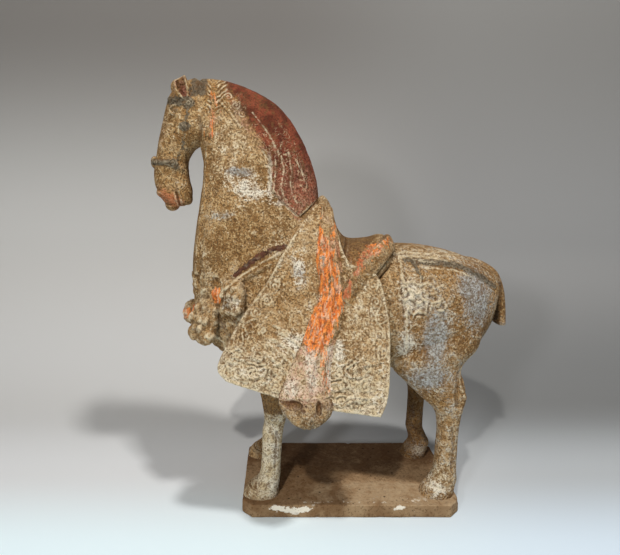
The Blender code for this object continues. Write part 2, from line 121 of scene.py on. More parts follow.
# Legs, from the trunk to below the sole: height, middle x, half length, half width, middle y
FORELEG = [
    (168, -84, 30, 15, 30),
    (140, -76, 25, 18, 32),
    (118, -69, 18, 15, 33),
    (96, -66, 13, 12, 34),
    (72, -65.5, 9.8, 9.6, 35),
    (60, -67.5, 9.2, 9.0, 35.5),
    (38, -68.8, 8.7, 9.0, 36),
    (22, -69.8, 9.0, 9.8, 36),
    (13.5, -71.8, 10.4, 11.0, 36),
    (7.5, -76.2, 14.0, 13.0, 36),
    (0, -78.5, 16.0, 14.0, 36),
    (-1.6, -78.5, 16.0, 14.0, 36),
]
HIND_LEG = [
    (178, 88, 28, 12, 24),
    (158, 82, 36, 18, 28),
    (138, 74, 38, 20, 31),
    (121, 67, 31, 18.5, 33),
    (106, 74.5, 25.5, 16, 34),
    (92, 83.5, 20, 13.5, 35),
    (81, 88, 13, 11.5, 35.5),
    (68, 89, 9.8, 9.8, 36),
    (42, 88.3, 9.4, 9.4, 36),
    (24, 87.8, 10.2, 10.4, 36),
    (15, 87, 11.8, 11.8, 36),
    (7, 83.5, 13.8, 13.2, 36),
    (0, 81, 14.8, 14.0, 36),
    (-1.6, 81, 14.8, 14.0, 36),
]
FAR_HIND_LEAD = 11.0            # the far hind leg stands further forward than the near one
FAR_HIND_SLIMNESS = 0.86
FOOT_LEAD = 0.4                 # share of the lead that the foot takes
SHANK_FOOT = 14.0               # the foot ends at this height
SHANK_EASE = 16.0               # and the lead is full this far above it
SHANK_TOP = 130.0               # slimming starts below this height
SHANK_FADE = 30.0               # and is full this far below it
# Shoulder and thigh: middle, half sizes
LIMB_MUSCLES = [((-88, 29, 160), (30, 20, 32)), ((84, 24, 158), (32, 25, 32))]

# Mudguard: front edge (x, z), rear edge (x, z), from the pommel down to the hem
MUDGUARD_WALL = 4.6
MUDGUARD_EDGES = [
    (-31, 260, -16, 257),
    (-44, 243, -13, 238),
    (-58, 222, -4, 214),
    (-73, 196, 19, 203),
    (-88, 176, 27, 172),
    (-101, 155, 27.5, 143),
    (-111, 133, 25, 112),
    (-104, 123, 19, 96),
]
MUDGUARD_SAG = 4.0
# How the mudguards flare out: height, distance from the middle
FLARE = [(60, 94), (100, 88), (120, 82), (140, 75), (160, 67), (180, 60),
         (200, 53.5), (220, 47), (240, 38), (252, 30), (260, 20), (268, 8)]
BORDER_WIDTH = 13.0             # from the mudguard's edge to its inner border line
RIM_WIDTH = 2.4
RIM_TOP = 236.0                 # the rim and its scrolls end at this height
FIELD_TOP = 224.0               # and the inner border line at this one
MUDGUARD_COLUMNS = 60
# Running scrolls along the edges: distance from the edge, where they start and stop along it
FRONT_VINE = (7.4, 66.0, None)
REAR_VINE = (7.2, 40.0, 118.0)

# Saddle, from the pommel to the cantle: ridge (x, z), underside (x, z), half width, narrowing
SADDLE = [
    (-33, 250, -42, 190, 33, 0.45),
    (-30, 261, -38, 188, 38, 0.45),
    (-23, 267, -32, 186, 40, 0.42),
    (-16, 258, -24, 184, 41, 0.36),
    (-10, 239, -16, 182, 45, 0.20),
    (0, 229, -8, 176, 48, 0.10),
    (18, 229, 4, 172, 49, 0.10),
    (29, 232, 10, 178, 47, 0.12),
    (35, 230, 18, 190, 44, 0.14),
    (38, 222, 26, 200, 38, 0.14),
]
# Cantle rim: x, distance from the middle, z, and the way the band faces
CANTLE = [
    (34, 0, 224, 1.0, 0.0, 0.5),
    (34.5, 16, 225, 0.9, 0.4, 0.5),
    (32, 31, 227.5, 0.6, 0.7, 0.4),
    (23.5, 43.5, 221.5, 0.35, 0.85, 0.3),
    (14, 49, 211.5, 0.3, 0.85, 0.3),
    (6, 52, 202, 0.3, 0.85, 0.3),
    (-2, 55.5, 192, 0.3, 0.85, 0.3),
    (-9, 58.5, 183, 0.3, 0.85, 0.3),
]
CANTLE_HALF_WIDTH = 8.0
CANTLE_HALF_THICKNESS = 3.2
FAR_RIM_DROP = 8.0              # the far half of the cantle sits lower
CANTLE_STRIPE = [(31, 231), (22, 226), (12, 220), (5, 212), (-3, 198), (-8, 187)]
SEAT_X = -14.0                  # the pommel ends and the seat begins here
SEAT_CREASES = [
    [(-9, 240), (-13, 228), (-15, 214), (-12, 200)],
    [(-2, 231), (-7, 220), (-9, 208), (-10, 196)],
]

# Sash: left edge (x, z), right edge (x, z), how far it stands off the mudguard
SASH = [
    (-27, 258, -17, 258, 1.5),
    (-28, 240, -14, 241, 3.0),
    (-31, 216, -11, 216, 4.0),
    (-29, 193, -8, 193, 4.5),
    (-37, 166, -9, 170, 4.5),
    (-42, 153, -16, 154, 5.0),
    (-52, 132, -21, 134, 6.0),
    (-61, 112, -21, 112, 8.0),
    (-60, 101, -19, 102, 11.0),
    (-53, 93, -24, 94, 10.0),
    (-44, 88.5, -31, 88.5, 5.0),
]
SASH_PLEATS = 3
SASH_PLEAT_DEPTH = 1.3
SASH_FOLD_LINE = 113.0          # height where the pleats end above the folded hem
SASH_FOOT = 87.0                # lowest and highest point that is painted as sash
SASH_HEAD = 262.0
SASH_FOLDS = 4                  # soft folds and fine pleats carved across it
SASH_FINE_PLEATS = 11
SASH_COLUMNS = 48
SASH_SUNK = 2.0                 # the sash reaches this far into the mudguard
# Hollows of the folded hem: middle (x, z), half sizes (x, z), depth
FOLD_HOLLOWS = [(-51.5, 108, 8.5, 3.8, 4.5), (-30.5, 106, 2.6, 5.5, 4.0)]

# Mane: lower edge on the side of the neck, from the poll to the withers
MANE_EDGE = [(-114, 352), (-107, 343), (-98, 333), (-88, 317), (-77, 306), (-69, 296),
             (-70, 283), (-68, 271), (-54, 257), (-40, 246)]
MANE_FOOT = ((-47, 248), (-30, 263))
RED_EDGE = [(-110, 366), (-105, 356), (-99, 348), (-91.5, 337), (-86, 328), (-80.5, 318),
            (-73, 306), (-68, 294), (-68, 281), (-67, 270), (-57, 259), (-44, 247)]
MANE_RELIEF = 1.6
MANE_CREST_BLEND = 11.0         # the relief grows over this distance below the crest
MANE_COMB_PITCH = 3.1           # fine combed lines that follow the crest
BRAID_PITCH = 4.4

THROAT_RIDGE = [(-123, 311), (-125, 281), (-126, 264), (-130, 247), (-132, 229), (-134, 210),
                (-135, 189)]
NECK_SEAM = [(-112, 346), (-104, 338), (-98, 330), (-94, 324)]
BRAID_AXIS = [(-116, 364), (-116, 346), (-117, 337), (-119, 329), (-121, 318)]
# Curls of the neck: middle (x, z), radius
NECK_CURLS = [(-98, 342, 3.8), (-92, 335, 3.6), (-104, 349, 3.4)]

# Breast strap: points (x, z) seen from the side, and distance from the middle
BREAST_STRAP = [(-62, 214, 40), (-76, 208, 43), (-92, 200, 43.5), (-110, 188, 38), (-126, 175, 27),
                (-138, 165, 12), (-141, 162, 0)]
# Painted strap above it, and the ridge beside that
DARK_STRAP = [(-99, 202), (-94, 206), (-86, 213), (-76, 219), (-65, 224), (-56, 226)]
STRAP_RIDGE = [(-106, 192), (-95, 201), (-79, 211), (-68, 217), (-58, 222)]
# Pendants: top (x, y, z), direction round the chest in degrees, width, length
PENDANTS = [((-98, 44, 196), 62, 24, 31), ((-122, 30, 178), 44, 35, 42), ((-137, 0, 170), 0, 30, 22)]
PENDANT_THICKNESS = 13.0
PENDANT_TILT = 14
# Rosettes: place (x, y, z), direction round the chest in degrees
ROSETTES = [((-113, 40, 184), 50), ((-136, 24, 168), 35), ((-147, 9, 162), 15)]

# Ears: root and tip (x, out, z), then radius and opening by share of the way to the tip
EAR_ROOT = (-141.5, 13.0, 343.0)
EAR_TIP = (-144.6, 16.5, 364.5)
EAR_RADII = [(0.0, 4.0), (0.25, 6.6), (0.6, 7.4), (1.0, 4.6)]
EAR_OPENING = [(0.0, 0.02), (0.3, 0.10), (0.7, 0.26), (1.0, 0.38)]
EAR_LEVELS = 24
EAR_COLUMNS = 32
EAR_FACINGS = (122.0, 84.0)     # degrees, at the root and at the tip
EYE = (-147.5, 15.4, 338.5)

# Bridle: points (x, out, z), half thickness
BRIDLE_CORDS = [
    ([(-171, 0, 296), (-168, 9, 296), (-157, 13.6, 295), (-147, 10, 290), (-144, 0, 288)], 2.2),
    ([(-157, 0, 346.4), (-154, 9.4, 344.9), (-147, 16.2, 343.9), (-139, 17, 343.4)], 2.0),
    ([(-157, 0, 349.6), (-154, 9.4, 348.1), (-147, 16.2, 347.1), (-139, 17, 346.6)], 2.0),
    ([(-138, 17, 345), (-139, 18.4, 335), (-141.5, 18.0, 325)], 1.5),
]
# Eyes, three discs, cheeks and nostrils: middle (x, out, z), half sizes
HEAD_BALLS = [
    (EYE, (4.2, 3.2, 2.9)),
    ((-153, 13.5, 295), (4.4, 2.8, 4.4)),
    ((-137.5, 17, 344), (5.4, 2.8, 4.8)),
    ((-141.5, 17, 325), (4.4, 3, 5)),
    ((-127, 9, 325), (15, 10, 16)),
    ((-164, 7.5, 271), (6, 5, 6)),
]
# Disc on the nose, forelock, upper lip and lower lip: middle, half sizes
HEAD_MIDDLE_BALLS = [
    ((-172, 0, 296), (3.4, 5.4, 5.4)),
    ((-149, 0, 359), (6.5, 8, 7)),
    ((-157.5, 0, 259), (6.5, 8, 6)),
    ((-144, 0, 264), (4.5, 8, 5.5)),
]
HEAD_X = -108.0                 # the head and its bridle lie in front of this
# Grey crown strap between the ears: middle (x, z), half sizes
CROWN = (-129.5, 359, 7.0, 9.5)
# Hollows of the nostril and behind the mouth: middle (x, z), half sizes, depth
DIMPLES = [(-167, 272.5, 2.6, 1.9, 2.2), (-149.8, 266.5, 1.5, 3.6, 1.6)]
MOUTH_CORNER = [(-149, 257), (-150.5, 263), (-151.5, 270)]
MOUTH = [(-166, 262), (-162, 259.5), (-157, 259)]
LIP_LINE = [(-147.5, 261), (-148.5, 266), (-149.5, 271)]
FACE_RIDGE = [(-152, 333), (-158, 318), (-163, 300)]
JAW_LINE = [(-131, 310), (-128, 320), (-129, 332)]
# Painted straps: line (x, z), half width, how far from the middle the paint starts
STRAP_PAINT = [
    ([(-172, 296), (-164, 296), (-157, 295.5), (-150, 292)], 3.0, -1),
    ([(-157, 347.5), (-152, 346.5), (-146, 345.5), (-138, 345)], 3.8, -1),
    ([(-138, 345), (-139, 335), (-141.5, 325)], 1.8, 12),
]
THIN_STRAP = [(-142, 321), (-144, 308), (-150, 297)]
CHEEK_LINE = [(-143, 341), (-146, 330), (-147, 316)]
# Painted discs: middle (x, z), radius
BOSSES = [(-137.5, 344, 5.4), (-141.5, 325, 5.0), (-153, 295, 4.6), (-172, 296, 5)]

# Tail: outer side (x, z), inner side (x, z), half width
TAIL = [
    (98, 213, 100, 200, 6),
    (114, 211, 112, 197, 8),
    (127, 206, 120, 193, 9),
    (137, 198, 127, 187, 9),
    (143.5, 183, 132.5, 178, 9),
    (146, 165, 137, 163, 9.5),
    (147, 149.5, 138.5, 149.5, 10),
]

# Harness behind the saddle
REAR_X = 30.0                   # the hindquarters' relief and paint start here
HIP_WELT = [(41, 222), (41.5, 205), (43, 182), (46, 139)]
CRUPPER = [(44, 214), (63, 211.5), (81, 210.5), (96, 206.5), (111, 199), (124, 190)]
HANGING_TAG = [(53, 212), (54, 206), (58, 200)]
THIGH_RIM = [(126, 162), (120, 147), (111, 138), (102, 128), (96, 120), (94, 109), (100, 93)]
HIP_LINES = [
    [(41, 199), (45, 195), (50, 197), (56, 194), (62, 196), (67, 192)],
    [(44, 188), (48, 191), (53, 187), (58, 190), (63, 187), (69, 188)],
    [(42, 181), (47, 184), (54, 180), (60, 183), (66, 180), (74, 183)],
    [(46, 175), (50, 171), (55, 174), (60, 171)],
    [(70, 177), (73, 181), (77, 178), (75, 174), (71, 174)],
]
# Ridges of the croup: distance below its outline, from x, to x
CROUP_RIDGES = [(3.2, 34, 84), (6.0, 40, 90), (8.2, 52, 78)]
# Worn lines on the hip: middle (x, z), half sizes
HIP_SWIRL = (52, 182, 22, 20)
LEG_TOP = 116.0                 # below this the hidden sides of the legs get painted shade
HIND_TENDON = [(90, 66), (92, 48), (91, 28)]
FORE_TENDON = [(-64, 62), (-65, 46), (-66, 28)]
HOCK_CORD = [(104, 118), (99, 104), (100, 92), (97, 80)]
HOCK_HOLLOW = [(93, 116), (91, 102), (92, 88)]

# Patches of slip, whitewash, blue-grey, pink, soil, dust and scratches, by field:
# middle (x, z), half sizes (x, z), amount
BODY_PATCHES = {
    "slip": [
        (-97, 316, 24, 22, 0.26), (-103, 298, 22, 26, 0.16), (-108, 251, 12, 6, 0.3),
        (-95, 235, 34, 26, -0.22), (-60, 240, 12, 14, 0.2), (-62, 226, 12, 6, 0.35),
        (-130, 200, 8, 70, 0.1), (-132, 218, 9, 36, 0.2), (60, 160, 40, 45, 0.16),
        (72, 216, 40, 5, 0.45), (70, 152, 10, 22, 0.25), (66, 113, 16, 9, 0.25),
        (56, 163, 9, 7, -0.45), (93, 160, 9, 12, -0.4), (60, 146, 7, 12, -0.35),
        (97, 180, 10, 9, -0.35), (80, 201, 24, 6, -0.2), (78, 96, 16, 7, -0.4),
        (76, 103, 6, 4, 0.45), (88, 60, 14, 40, 0.16), (80, 18, 14, 14, 0.35),
        (-70, 40, 16, 40, 0.7), (-78, 8, 14, 10, 0.35), (-84, 8, 12, 8, -0.35)],
    "white": [
        (-80, 268, 9, 5, 0.45), (-92, 272, 6, 10, 0.35), (-104, 283, 5, 7, 0.35),
        (-59, 262, 10, 4, 0.6), (50, 188, 12, 14, 0.72), (58, 178, 14, 6, 0.55),
        (44, 160, 5, 26, 0.45), (49, 144, 9, 9, 0.62), (80, 9, 9, 8, 0.8), (-66, 44, 7, 26, 0.5),
        (-66, 8, 6, 8, 0.95)],
    "blue": [
        (-91, 286, 10, 5, 0.75), (-101, 288, 6, 3, 0.8), (-108, 251, 12, 4.5, 0.55),
        (70, 152, 10, 24, 0.85), (107, 180, 12, 22, 0.7), (98, 192, 8, 8, 0.6),
        (66, 113, 16, 9, 0.8), (-65, 46, 4.5, 24, 0.45)],
}
MANE_PATCHES = {
    "white": [(-69, 288, 2.2, 24, 0.8)],
}
NECK_PATCHES = {
    "dust": [(-117, 334, 8, 22, 0.7)],
    "pink": [(-117, 332, 5, 11, 0.6), (-104, 352, 6, 5, 0.4)],
    "scratch": [(-97, 342, 9, 10, 1.0), (-90, 300, 34, 16, 0.1)],
    "blue": [(-96, 340, 6, 7, 0.55)],
    "soil": [(-93, 338, 6, 7, 0.25), (-90, 288, 12, 4, 0.35), (-115, 353, 12, 11, 0.2)],
    "white": [(-88, 277, 15, 11, 0.42)],
    "slip": [(-100, 313, 24, 24, -0.16), (-115, 353, 12, 11, -0.35)],
}
HEAD_PATCHES = {
    "soil": [(-148, 339, 2.4, 2.0, 0.5), (-163, 262, 4, 4, 0.35), (-130, 359, 8, 10, 0.45)],
    "pink": [
        (-152, 262, 7, 7, 0.85), (-164, 268, 7, 9, 0.6), (-157, 264, 12, 11, 0.4),
        (-161, 322, 5, 18, 0.35)],
    "slip": [(-160, 332, 7, 12, 0.25)],
}
CHEST_PATCHES = {
    "white": [(-101, 182, 9, 8, 0.55)],
    "blue": [(-98, 176, 8, 8, 0.35)],
}
PENDANT_PATCHES = {
    "pink": [(-118, 181, 7, 5, 0.5)],
}
HIP_PATCHES = {
    "scratch": [(50, 184, 24, 20, 0.8)],
}
GUARD_PATCHES = {
    "slip": [
        (-90, 132, 26, 14, 0.38), (-58, 144, 16, 14, 0.25), (-62, 190, 16, 18, -0.12),
        (-80, 168, 12, 10, -0.1), (4, 112, 22, 22, 0.38), (-14, 145, 5, 14, 0.5),
        (6, 175, 16, 22, 0.16)],
    "white": [
        (-98, 127, 12, 7, 0.3), (-49, 153, 9, 6, 0.75), (-60, 147, 10, 5, 0.4),
        (-45, 213, 5, 6, 0.8), (-46, 199, 5, 5, 0.6), (-13, 146, 3.5, 11, 0.8),
        (18, 104, 8, 8, 0.3)],
    "blue": [(-45, 206, 7, 12, 0.55)],
}
SASH_PATCHES = {
    # The first white patch is a painted highlight down the lower pleats
    "white": [(-21, 136, 3.0, 16, 1.2), (-52, 119, 6, 7, 0.9)],
    "dust": [(-25, 133, 5, 16, 0.5)],
    "pink": [(-10, 224, 5, 14, 0.6)],
}
SADDLE_PATCHES = {
    "pink": [(-2, 210, 6, 12, 0.4)],
    "blue": [(-4, 214, 5, 9, 0.3)],
}
PLINTH_PATCHES = {
    "white": [
        (-52, 7.5, 14, 3.4, 0.9), (-66, 9.5, 5, 2.6, 0.8), (-37, 6.5, 5, 5, 0.5),
        (43, 9.8, 5.5, 2.6, 0.95)],
}
# Marks on the sash, a painted silver highlight down the pleats and violet patches: middle (x, z), half
# sizes, amount
SILVER_HIGHLIGHT = (-23, 134, 3.6, 15, 1.5)
VIOLETS = [(-26, 216, 3, 6, 1.0), (-20, 199, 2.5, 6, 0.8), (-30, 187, 2.5, 5, 0.5)]
# Whitewash on top of the plinth, in millimetres: middle (x, y), half sizes, amount
TOP_WHITES = [(-20, -53, 60, 1.6, 0.42), (58, -50, 16, 4, 0.35), (30, -48, 40, 10, 0.15)]

# Orange band of the sash: left and right edges (z, x), upwards
ORANGE_LEFT = [(146, -38), (154, -43), (162, -42), (172, -36), (183, -30), (193, -29), (205, -31),
               (214, -34), (222, -34), (230, -32), (238, -30), (246, -29)]
ORANGE_RIGHT = [(145, -26), (151, -22), (161, -18), (170, -14), (179, -9), (189, -9), (201, -13),
                (212, -16), (222, -17), (230, -20), (238, -25), (246, -28)]
SECOND_STRAND = [(-15, 244), (-17, 235), (-21, 224)]
RED_STRIPE = [(-26, 149), (-25.5, 133), (-24, 118)]
# Strands of the mane (x, z)
MANE_STRANDS = [
    [(-66, 308), (-65, 297), (-65, 285), (-67, 268)],
    [(-54, 304), (-52, 289), (-52, 272), (-47, 261)],
    [(-47, 296), (-42, 286), (-39, 274)],
    [(-60, 300), (-58, 288), (-60, 274), (-56, 264)],
    [(-84, 336), (-76, 326), (-68, 314), (-62, 302)],
]
# Scrolls in the field of the mudguard: middle (x, z), radius, hand
GUARD_FIELD_CURLS = [
    (-93, 145, 4.6, 1), (-82, 127, 4.8, -1), (-70, 130, 4.4, 1), (-78, 141, 4.6, -1),
    (-88, 157, 4.0, 1), (-75, 161, 3.8, -1),
    (-5, 135, 5.4, 1), (1, 126, 4.8, -1), (7, 119, 5.2, 1), (-9, 120, 4.8, -1), (-14, 129, 4.2, 1),
    (8, 133, 4.4, -1), (-6, 108, 4.4, 1), (3, 110, 4.0, -1),
]

FAR = 6.0                       # distances to a painted edge are kept within this many parts
# Fields with a painted or incised edge, and soft fields, all stored on the mesh
EDGED = ("red", "orange", "dark", "grey", "pale", "groove")
SOFT = ("slip", "white", "blue", "pink", "soil", "dust", "scratch")
# Cloud lines in the middle of the mudguard (x, z)
CLOUD_LINES = [
    [(-67, 155), (-59, 150), (-51, 145), (-45, 137)],
    [(-70, 150), (-61, 144), (-53, 137), (-48, 130)],
    [(-73, 144), (-65, 138), (-57, 131), (-52, 125)],
    [(-61, 160), (-51, 154), (-43, 148)],
    [(-76, 137), (-68, 131), (-60, 125)],
    [(-66, 165), (-57, 161), (-46, 156)],
]
VINE_PITCH = 13.0               # length of one wave of the running scroll
VINE_SWING = 3.2                # and how far its stem swings
CURL_STEPS = 20

# Plinth: how much is cut off along each edge at the corners, in metres
PLINTH_CORNER_CUT = 0.009
# Chips: middle (x, y, z) and radius, in millimetres
CHIPS = [(-94, -46, 10, 3.0), (96, -48, 11, 3.5), (40, -58, 12, 2.6), (-30, -58, 1, 2.4),
         (99, 20, 12, 3.0), (-95, 30, 12, 2.8), (10, 58, 12, 3.0), (70, 58, 0, 2.6)]

MILLIMETRES = (1000, 1000, 1000)  # scale of the materials' coordinates, from metres

# Colours, as 8-bit screen colours: clay and slip
DARK_CLAY = (122, 86, 46)
OCHRE_CLAY = (154, 114, 66)
PALE_CLAY = (176, 140, 92)
SAND = (204, 174, 124)
GRAIN_SHADE = (80, 54, 28)
CHALK = (204, 184, 148)
BRIGHT_CHALK = (222, 208, 180)
CLOUD_GREY = (130, 128, 120)
BLUE_GREY = (168, 172, 174)
FILM = (190, 164, 126)
# Whitewash, and a painted highlight on the sash
WHITEWASH_AND_HIGHLIGHT = (228, 218, 198)
PINK = (184, 98, 62)
SLIP_SHADE = (92, 66, 36)

# Paint
DEEP_RED = (94, 42, 25)
RED = (134, 68, 45)
DUSTY_RED = (178, 128, 102)
RED_SHADE = (58, 25, 13)
DEEP_ORANGE = (206, 92, 34)
BRIGHT_ORANGE = (240, 144, 66)
BARE_STROKE = (224, 194, 166)
DUSTY_ORANGE = (180, 98, 68)
ORANGE_SHADE = (134, 66, 36)
UMBER = (62, 36, 26)
PALE_UMBER = (92, 56, 40)
SLATE = (62, 54, 42)
PALE_SLATE = (110, 100, 84)

# Wear and soil, with painted shade in hollows and on the hidden sides of the legs, and a painted
# highlight on edges
WORN_RIDGE = (212, 196, 164)
GROOVE_SOIL = (84, 58, 32)
HAIRLINE = (212, 192, 154)
CRACK_SOIL = (92, 64, 36)
HOLLOW_SOIL_AND_SHADE = (74, 51, 28)
RUBBED_AND_HIGHLIT_EDGE = (218, 200, 166)
STAIN = (104, 74, 42)
SOIL_AND_SHADE = (80, 54, 30)
SPECK = (46, 33, 20)

# Clay of the plinth, with soil and painted shade in its hollows, and a painted pool of light and painted
# shadow on its top
SLAB_BROWN = (124, 94, 64)
SLAB_OCHRE = (152, 124, 92)
SLAB_PALE = (168, 142, 108)
SLAB_SHADE = (88, 62, 36)
SLAB_WHITE = (232, 222, 204)
SLAB_HOLLOW_SOIL_AND_SHADE = (76, 54, 30)
SLAB_PAINTED_LIGHT = (186, 164, 132)
SLAB_SOIL_AND_SHADOW = (88, 56, 28)
PINHOLE = (40, 28, 18)

# Backdrop: left and right colours of the front, the floor, the foot of the wall, the wall, its top; they
# darken backwards and upwards as painted falloff of the lamps' light, and on the right as a painted
# shadow of the horse
PAPER_LIGHT_AND_SHADE_COLOURS = [
    ((230, 248, 255), (220, 236, 250)),
    ((216, 218, 220), (186, 191, 195)),
    ((198, 198, 197), (128, 129, 129)),
    ((192, 190, 187), (156, 155, 154)),
    ((116, 112, 108), (130, 128, 125)),
]
SWEEP_FRONT = -1.4              # in metres
SWEEP_WALL = 0.33
SWEEP_RADIUS = 0.20
SWEEP_TOP = 1.6
SWEEP_HALF_WIDTH = 2.2
SWEEP_STEPS = 16
SWEEP_SUNK = 0.0002

# Lamps: name, direction from the horse, size in metres, watts, colour
LAMPS = [
    ("left_lamp", (-0.21, -0.67, 0.71), 0.05, 8.2, (1.0, 0.97, 0.92)),
    ("right_lamp", (0.22, -0.34, 0.92), 0.12, 11.5, (1.0, 0.98, 0.95)),
    ("low_lamp", (-0.455, -0.84, 0.30), 0.14, 5.0, (0.98, 0.98, 1.0)),
]
LIGHT_TARGET = (0, 0, 0.15)
LAMP_DISTANCE = 1.4
AMBIENT_COLOUR = (0.9, 0.94, 1.0, 1.0)
AMBIENT_STRENGTH = 0.03

CAMERA_PLACE = (-0.0599, -0.4885, 0.2924)
CAMERA_DIP = 10.18              # degrees below the horizon
CAMERA_LENS = 31.355
CAMERA_SENSOR = 36.0
CAMERA_SHIFT = 0.0429


def faired(rows, between=FAIRING):
    """Run a smooth curve through every column of a table of sections."""
    table = [tuple(float(v) for v in row) for row in rows]
    table = [table[0]] + table + [table[-1]]
    out = []
    for k in range(1, len(table) - 2):
        sections = list(zip(*table[k - 1:k + 3]))
        for step in range(between):
            t = step / between
            out.append(tuple(
                0.5 * (2 * b + (c - a) * t + (2 * a - 5 * b + 4 * c - d) * t * t
                       + (3 * b - a - 3 * c + d) * t ** 3)
                for a, b, c, d in sections))
    out.append(table[-2])
    return out


def read(table, value):
    """Read a table of pairs, given in rising order, at one value or many."""
    return np.interp(value, [a for a, _ in table], [b for _, b in table])


def power(value, exponent):
    """Raise the size of a number and keep its sign."""
    return math.copysign(abs(value) ** exponent, value)


def ring(centre, long_axis, wide_axis, narrowing=0.0, squareness=0.86, count=RING_POINTS):
    """Points round one rounded section, narrower on the side that long_axis points to."""
    points = []
    for k in range(count):
        angle = 2 * math.pi * k / count
        along = power(math.cos(angle), squareness)
        across = power(math.sin(angle), squareness) * (1.0 - narrowing * along)
        points.append(Vector(centre) + Vector(long_axis) * along + Vector(wide_axis) * across)
    return points


def add_loft(soup, rings):
    """Skin a row of rings and close both ends."""
    levels = [[soup.verts.new(p) for p in points] for points in rings]
    count = len(rings[0])
    for low, high in zip(levels, levels[1:]):
        for k in range(count):
            after = (k + 1) % count
            soup.faces.new((low[k], low[after], high[after], high[k]))
    soup.faces.new(list(reversed(levels[0])))
    soup.faces.new(levels[-1])


def add_profile_loft(soup, rows, squareness=0.86):
    """Loft sections that are given by an upper and a lower point of the side view."""
    rings = []
    for row in faired(rows):
        x_top, z_top, x_low, z_low, half_width = row[:5]
        narrowing = row[5] if len(row) > 5 else 0.0
        centre = ((x_top + x_low) / 2, 0, (z_top + z_low) / 2)
        long_axis = ((x_top - x_low) / 2, 0, (z_top - z_low) / 2)
        rings.append(ring(centre, long_axis, (0, half_width, 0), narrowing, squareness))
    add_loft(soup, rings)


def add_leg(soup, rows, side, lead=0.0, slimness=1.0):
    """Loft one leg from its level sections, set forward by some parts and slimmed in its shank."""
    rings = []
    for z, x, half_length, half_width, y in faired(rows):
        shank = min(1.0, max(0.0, z - SHANK_FOOT) / SHANK_EASE)
        x -= lead * (FOOT_LEAD + (1 - FOOT_LEAD) * shank)
        slim = 1 + (slimness - 1) * min(1.0, max(0.0, SHANK_TOP - z) / SHANK_FADE)
        rings.append(ring((x, side * y, z), (half_length * slim, 0, 0), (0, half_width, 0)))
    add_loft(soup, rings)


def add_slab(soup, outer, inner, side):
    """Close the space between two grids of points that face each other."""
    if side > 0:
        outer, inner = inner, outer
    last = len(outer[0]) - 1
    front = [[soup.verts.new(p) for p in line] for line in outer]
    back = [[soup.verts.new(p) for p in line] for line in inner]
    for r in range(len(outer) - 1):
        near, near_next, far, far_next = front[r], front[r + 1], back[r], back[r + 1]
        for c in range(last):
            soup.faces.new((near[c], near[c + 1], near_next[c + 1], near_next[c]))
            soup.faces.new((far[c], far_next[c], far_next[c + 1], far[c + 1]))
        soup.faces.new((near[0], near_next[0], far_next[0], far[0]))
        soup.faces.new((near_next[last], near[last], far[last], far_next[last]))
    for c in range(last):
        soup.faces.new((front[0][c + 1], front[0][c], back[0][c], back[0][c + 1]))
        soup.faces.new((front[-1][c], front[-1][c + 1], back[-1][c + 1], back[-1][c]))


def add_ball(soup, place, size, turn=Matrix(), squareness=1.0):
    """Add an ellipsoid of the given half sizes, or a block with rounded corners, turned."""
    rings = []
    for k in range(1, BALL_RINGS):
        angle = math.pi * k / BALL_RINGS
        height = power(math.cos(angle), squareness)
        spread = power(math.sin(angle), squareness)
        middle = Vector(place) + turn @ Vector((0, 0, -size[2] * height))
        long_axis = turn @ Vector((size[0] * spread, 0, 0))
        wide_axis = turn @ Vector((0, size[1] * spread, 0))
        rings.append(ring(middle, long_axis, wide_axis, 0.0, squareness, 2 * BALL_RINGS))
    add_loft(soup, rings)


def add_cord(soup, points, radius, between=6):
    """Add a round bead along a path, as a chain of rings."""
    path = [Vector(p) for p in faired(points, between)]
    rings = []
    for k, point in enumerate(path):
        ahead = path[min(k + 1, len(path) - 1)] - path[max(k - 1, 0)]
        ahead.normalize()
        side = ahead.cross(Vector((0, 1, 0)) if abs(ahead.y) < 0.9 else Vector((1, 0, 0)))
        side.normalize()
        other = ahead.cross(side)
        rings.append(ring(point, side * radius, other * radius, 0.0, 1.0, 16))
    add_loft(soup, rings)


def add_band(soup, rows, half_width, half_thickness):
    """Add a flat band along a path whose rows hold a place and the way the band faces."""
    path = faired(rows, 6)
    rings = []
    for k, row in enumerate(path):
        ahead = Vector(path[min(k + 1, len(path) - 1)][:3]) - Vector(path[max(k - 1, 0)][:3])
        across = ahead.cross(Vector(row[3:])).normalized()
        facing = across.cross(ahead).normalized()
        rings.append(ring(row[:3], across * half_width, facing * half_thickness, 0.0, 0.8, 32))
    add_loft(soup, rings)


def mudguard_point(s, row):
    """Side view place on the mudguard, from its front edge (0) to its rear edge (1)."""
    x_front, z_front, x_rear, z_rear, depth = row
    sag = MUDGUARD_SAG * depth * math.sin(math.pi * s)
    return x_front + (x_rear - x_front) * s, z_front + (z_rear - z_front) * s - sag


def mudguard_rows(between=FAIRING):
    """Smooth rows of the mudguard, each with its share of the way down."""
    last = len(MUDGUARD_EDGES) - 1
    return faired([edge + (k / last,) for k, edge in enumerate(MUDGUARD_EDGES)], between)


def add_mudguard(soup, side):
    """Add the stiff flared slab that hangs from the saddle."""
    outer = []
    inner = []
    for row in mudguard_rows():
        places = [mudguard_point(c / MUDGUARD_COLUMNS, row) for c in range(MUDGUARD_COLUMNS + 1)]
        outer.append([(x, side * read(FLARE, z), z) for x, z in places])
        inner.append([(x, side * (read(FLARE, z) - MUDGUARD_WALL), z) for x, z in places])
    add_slab(soup, outer, inner, side)


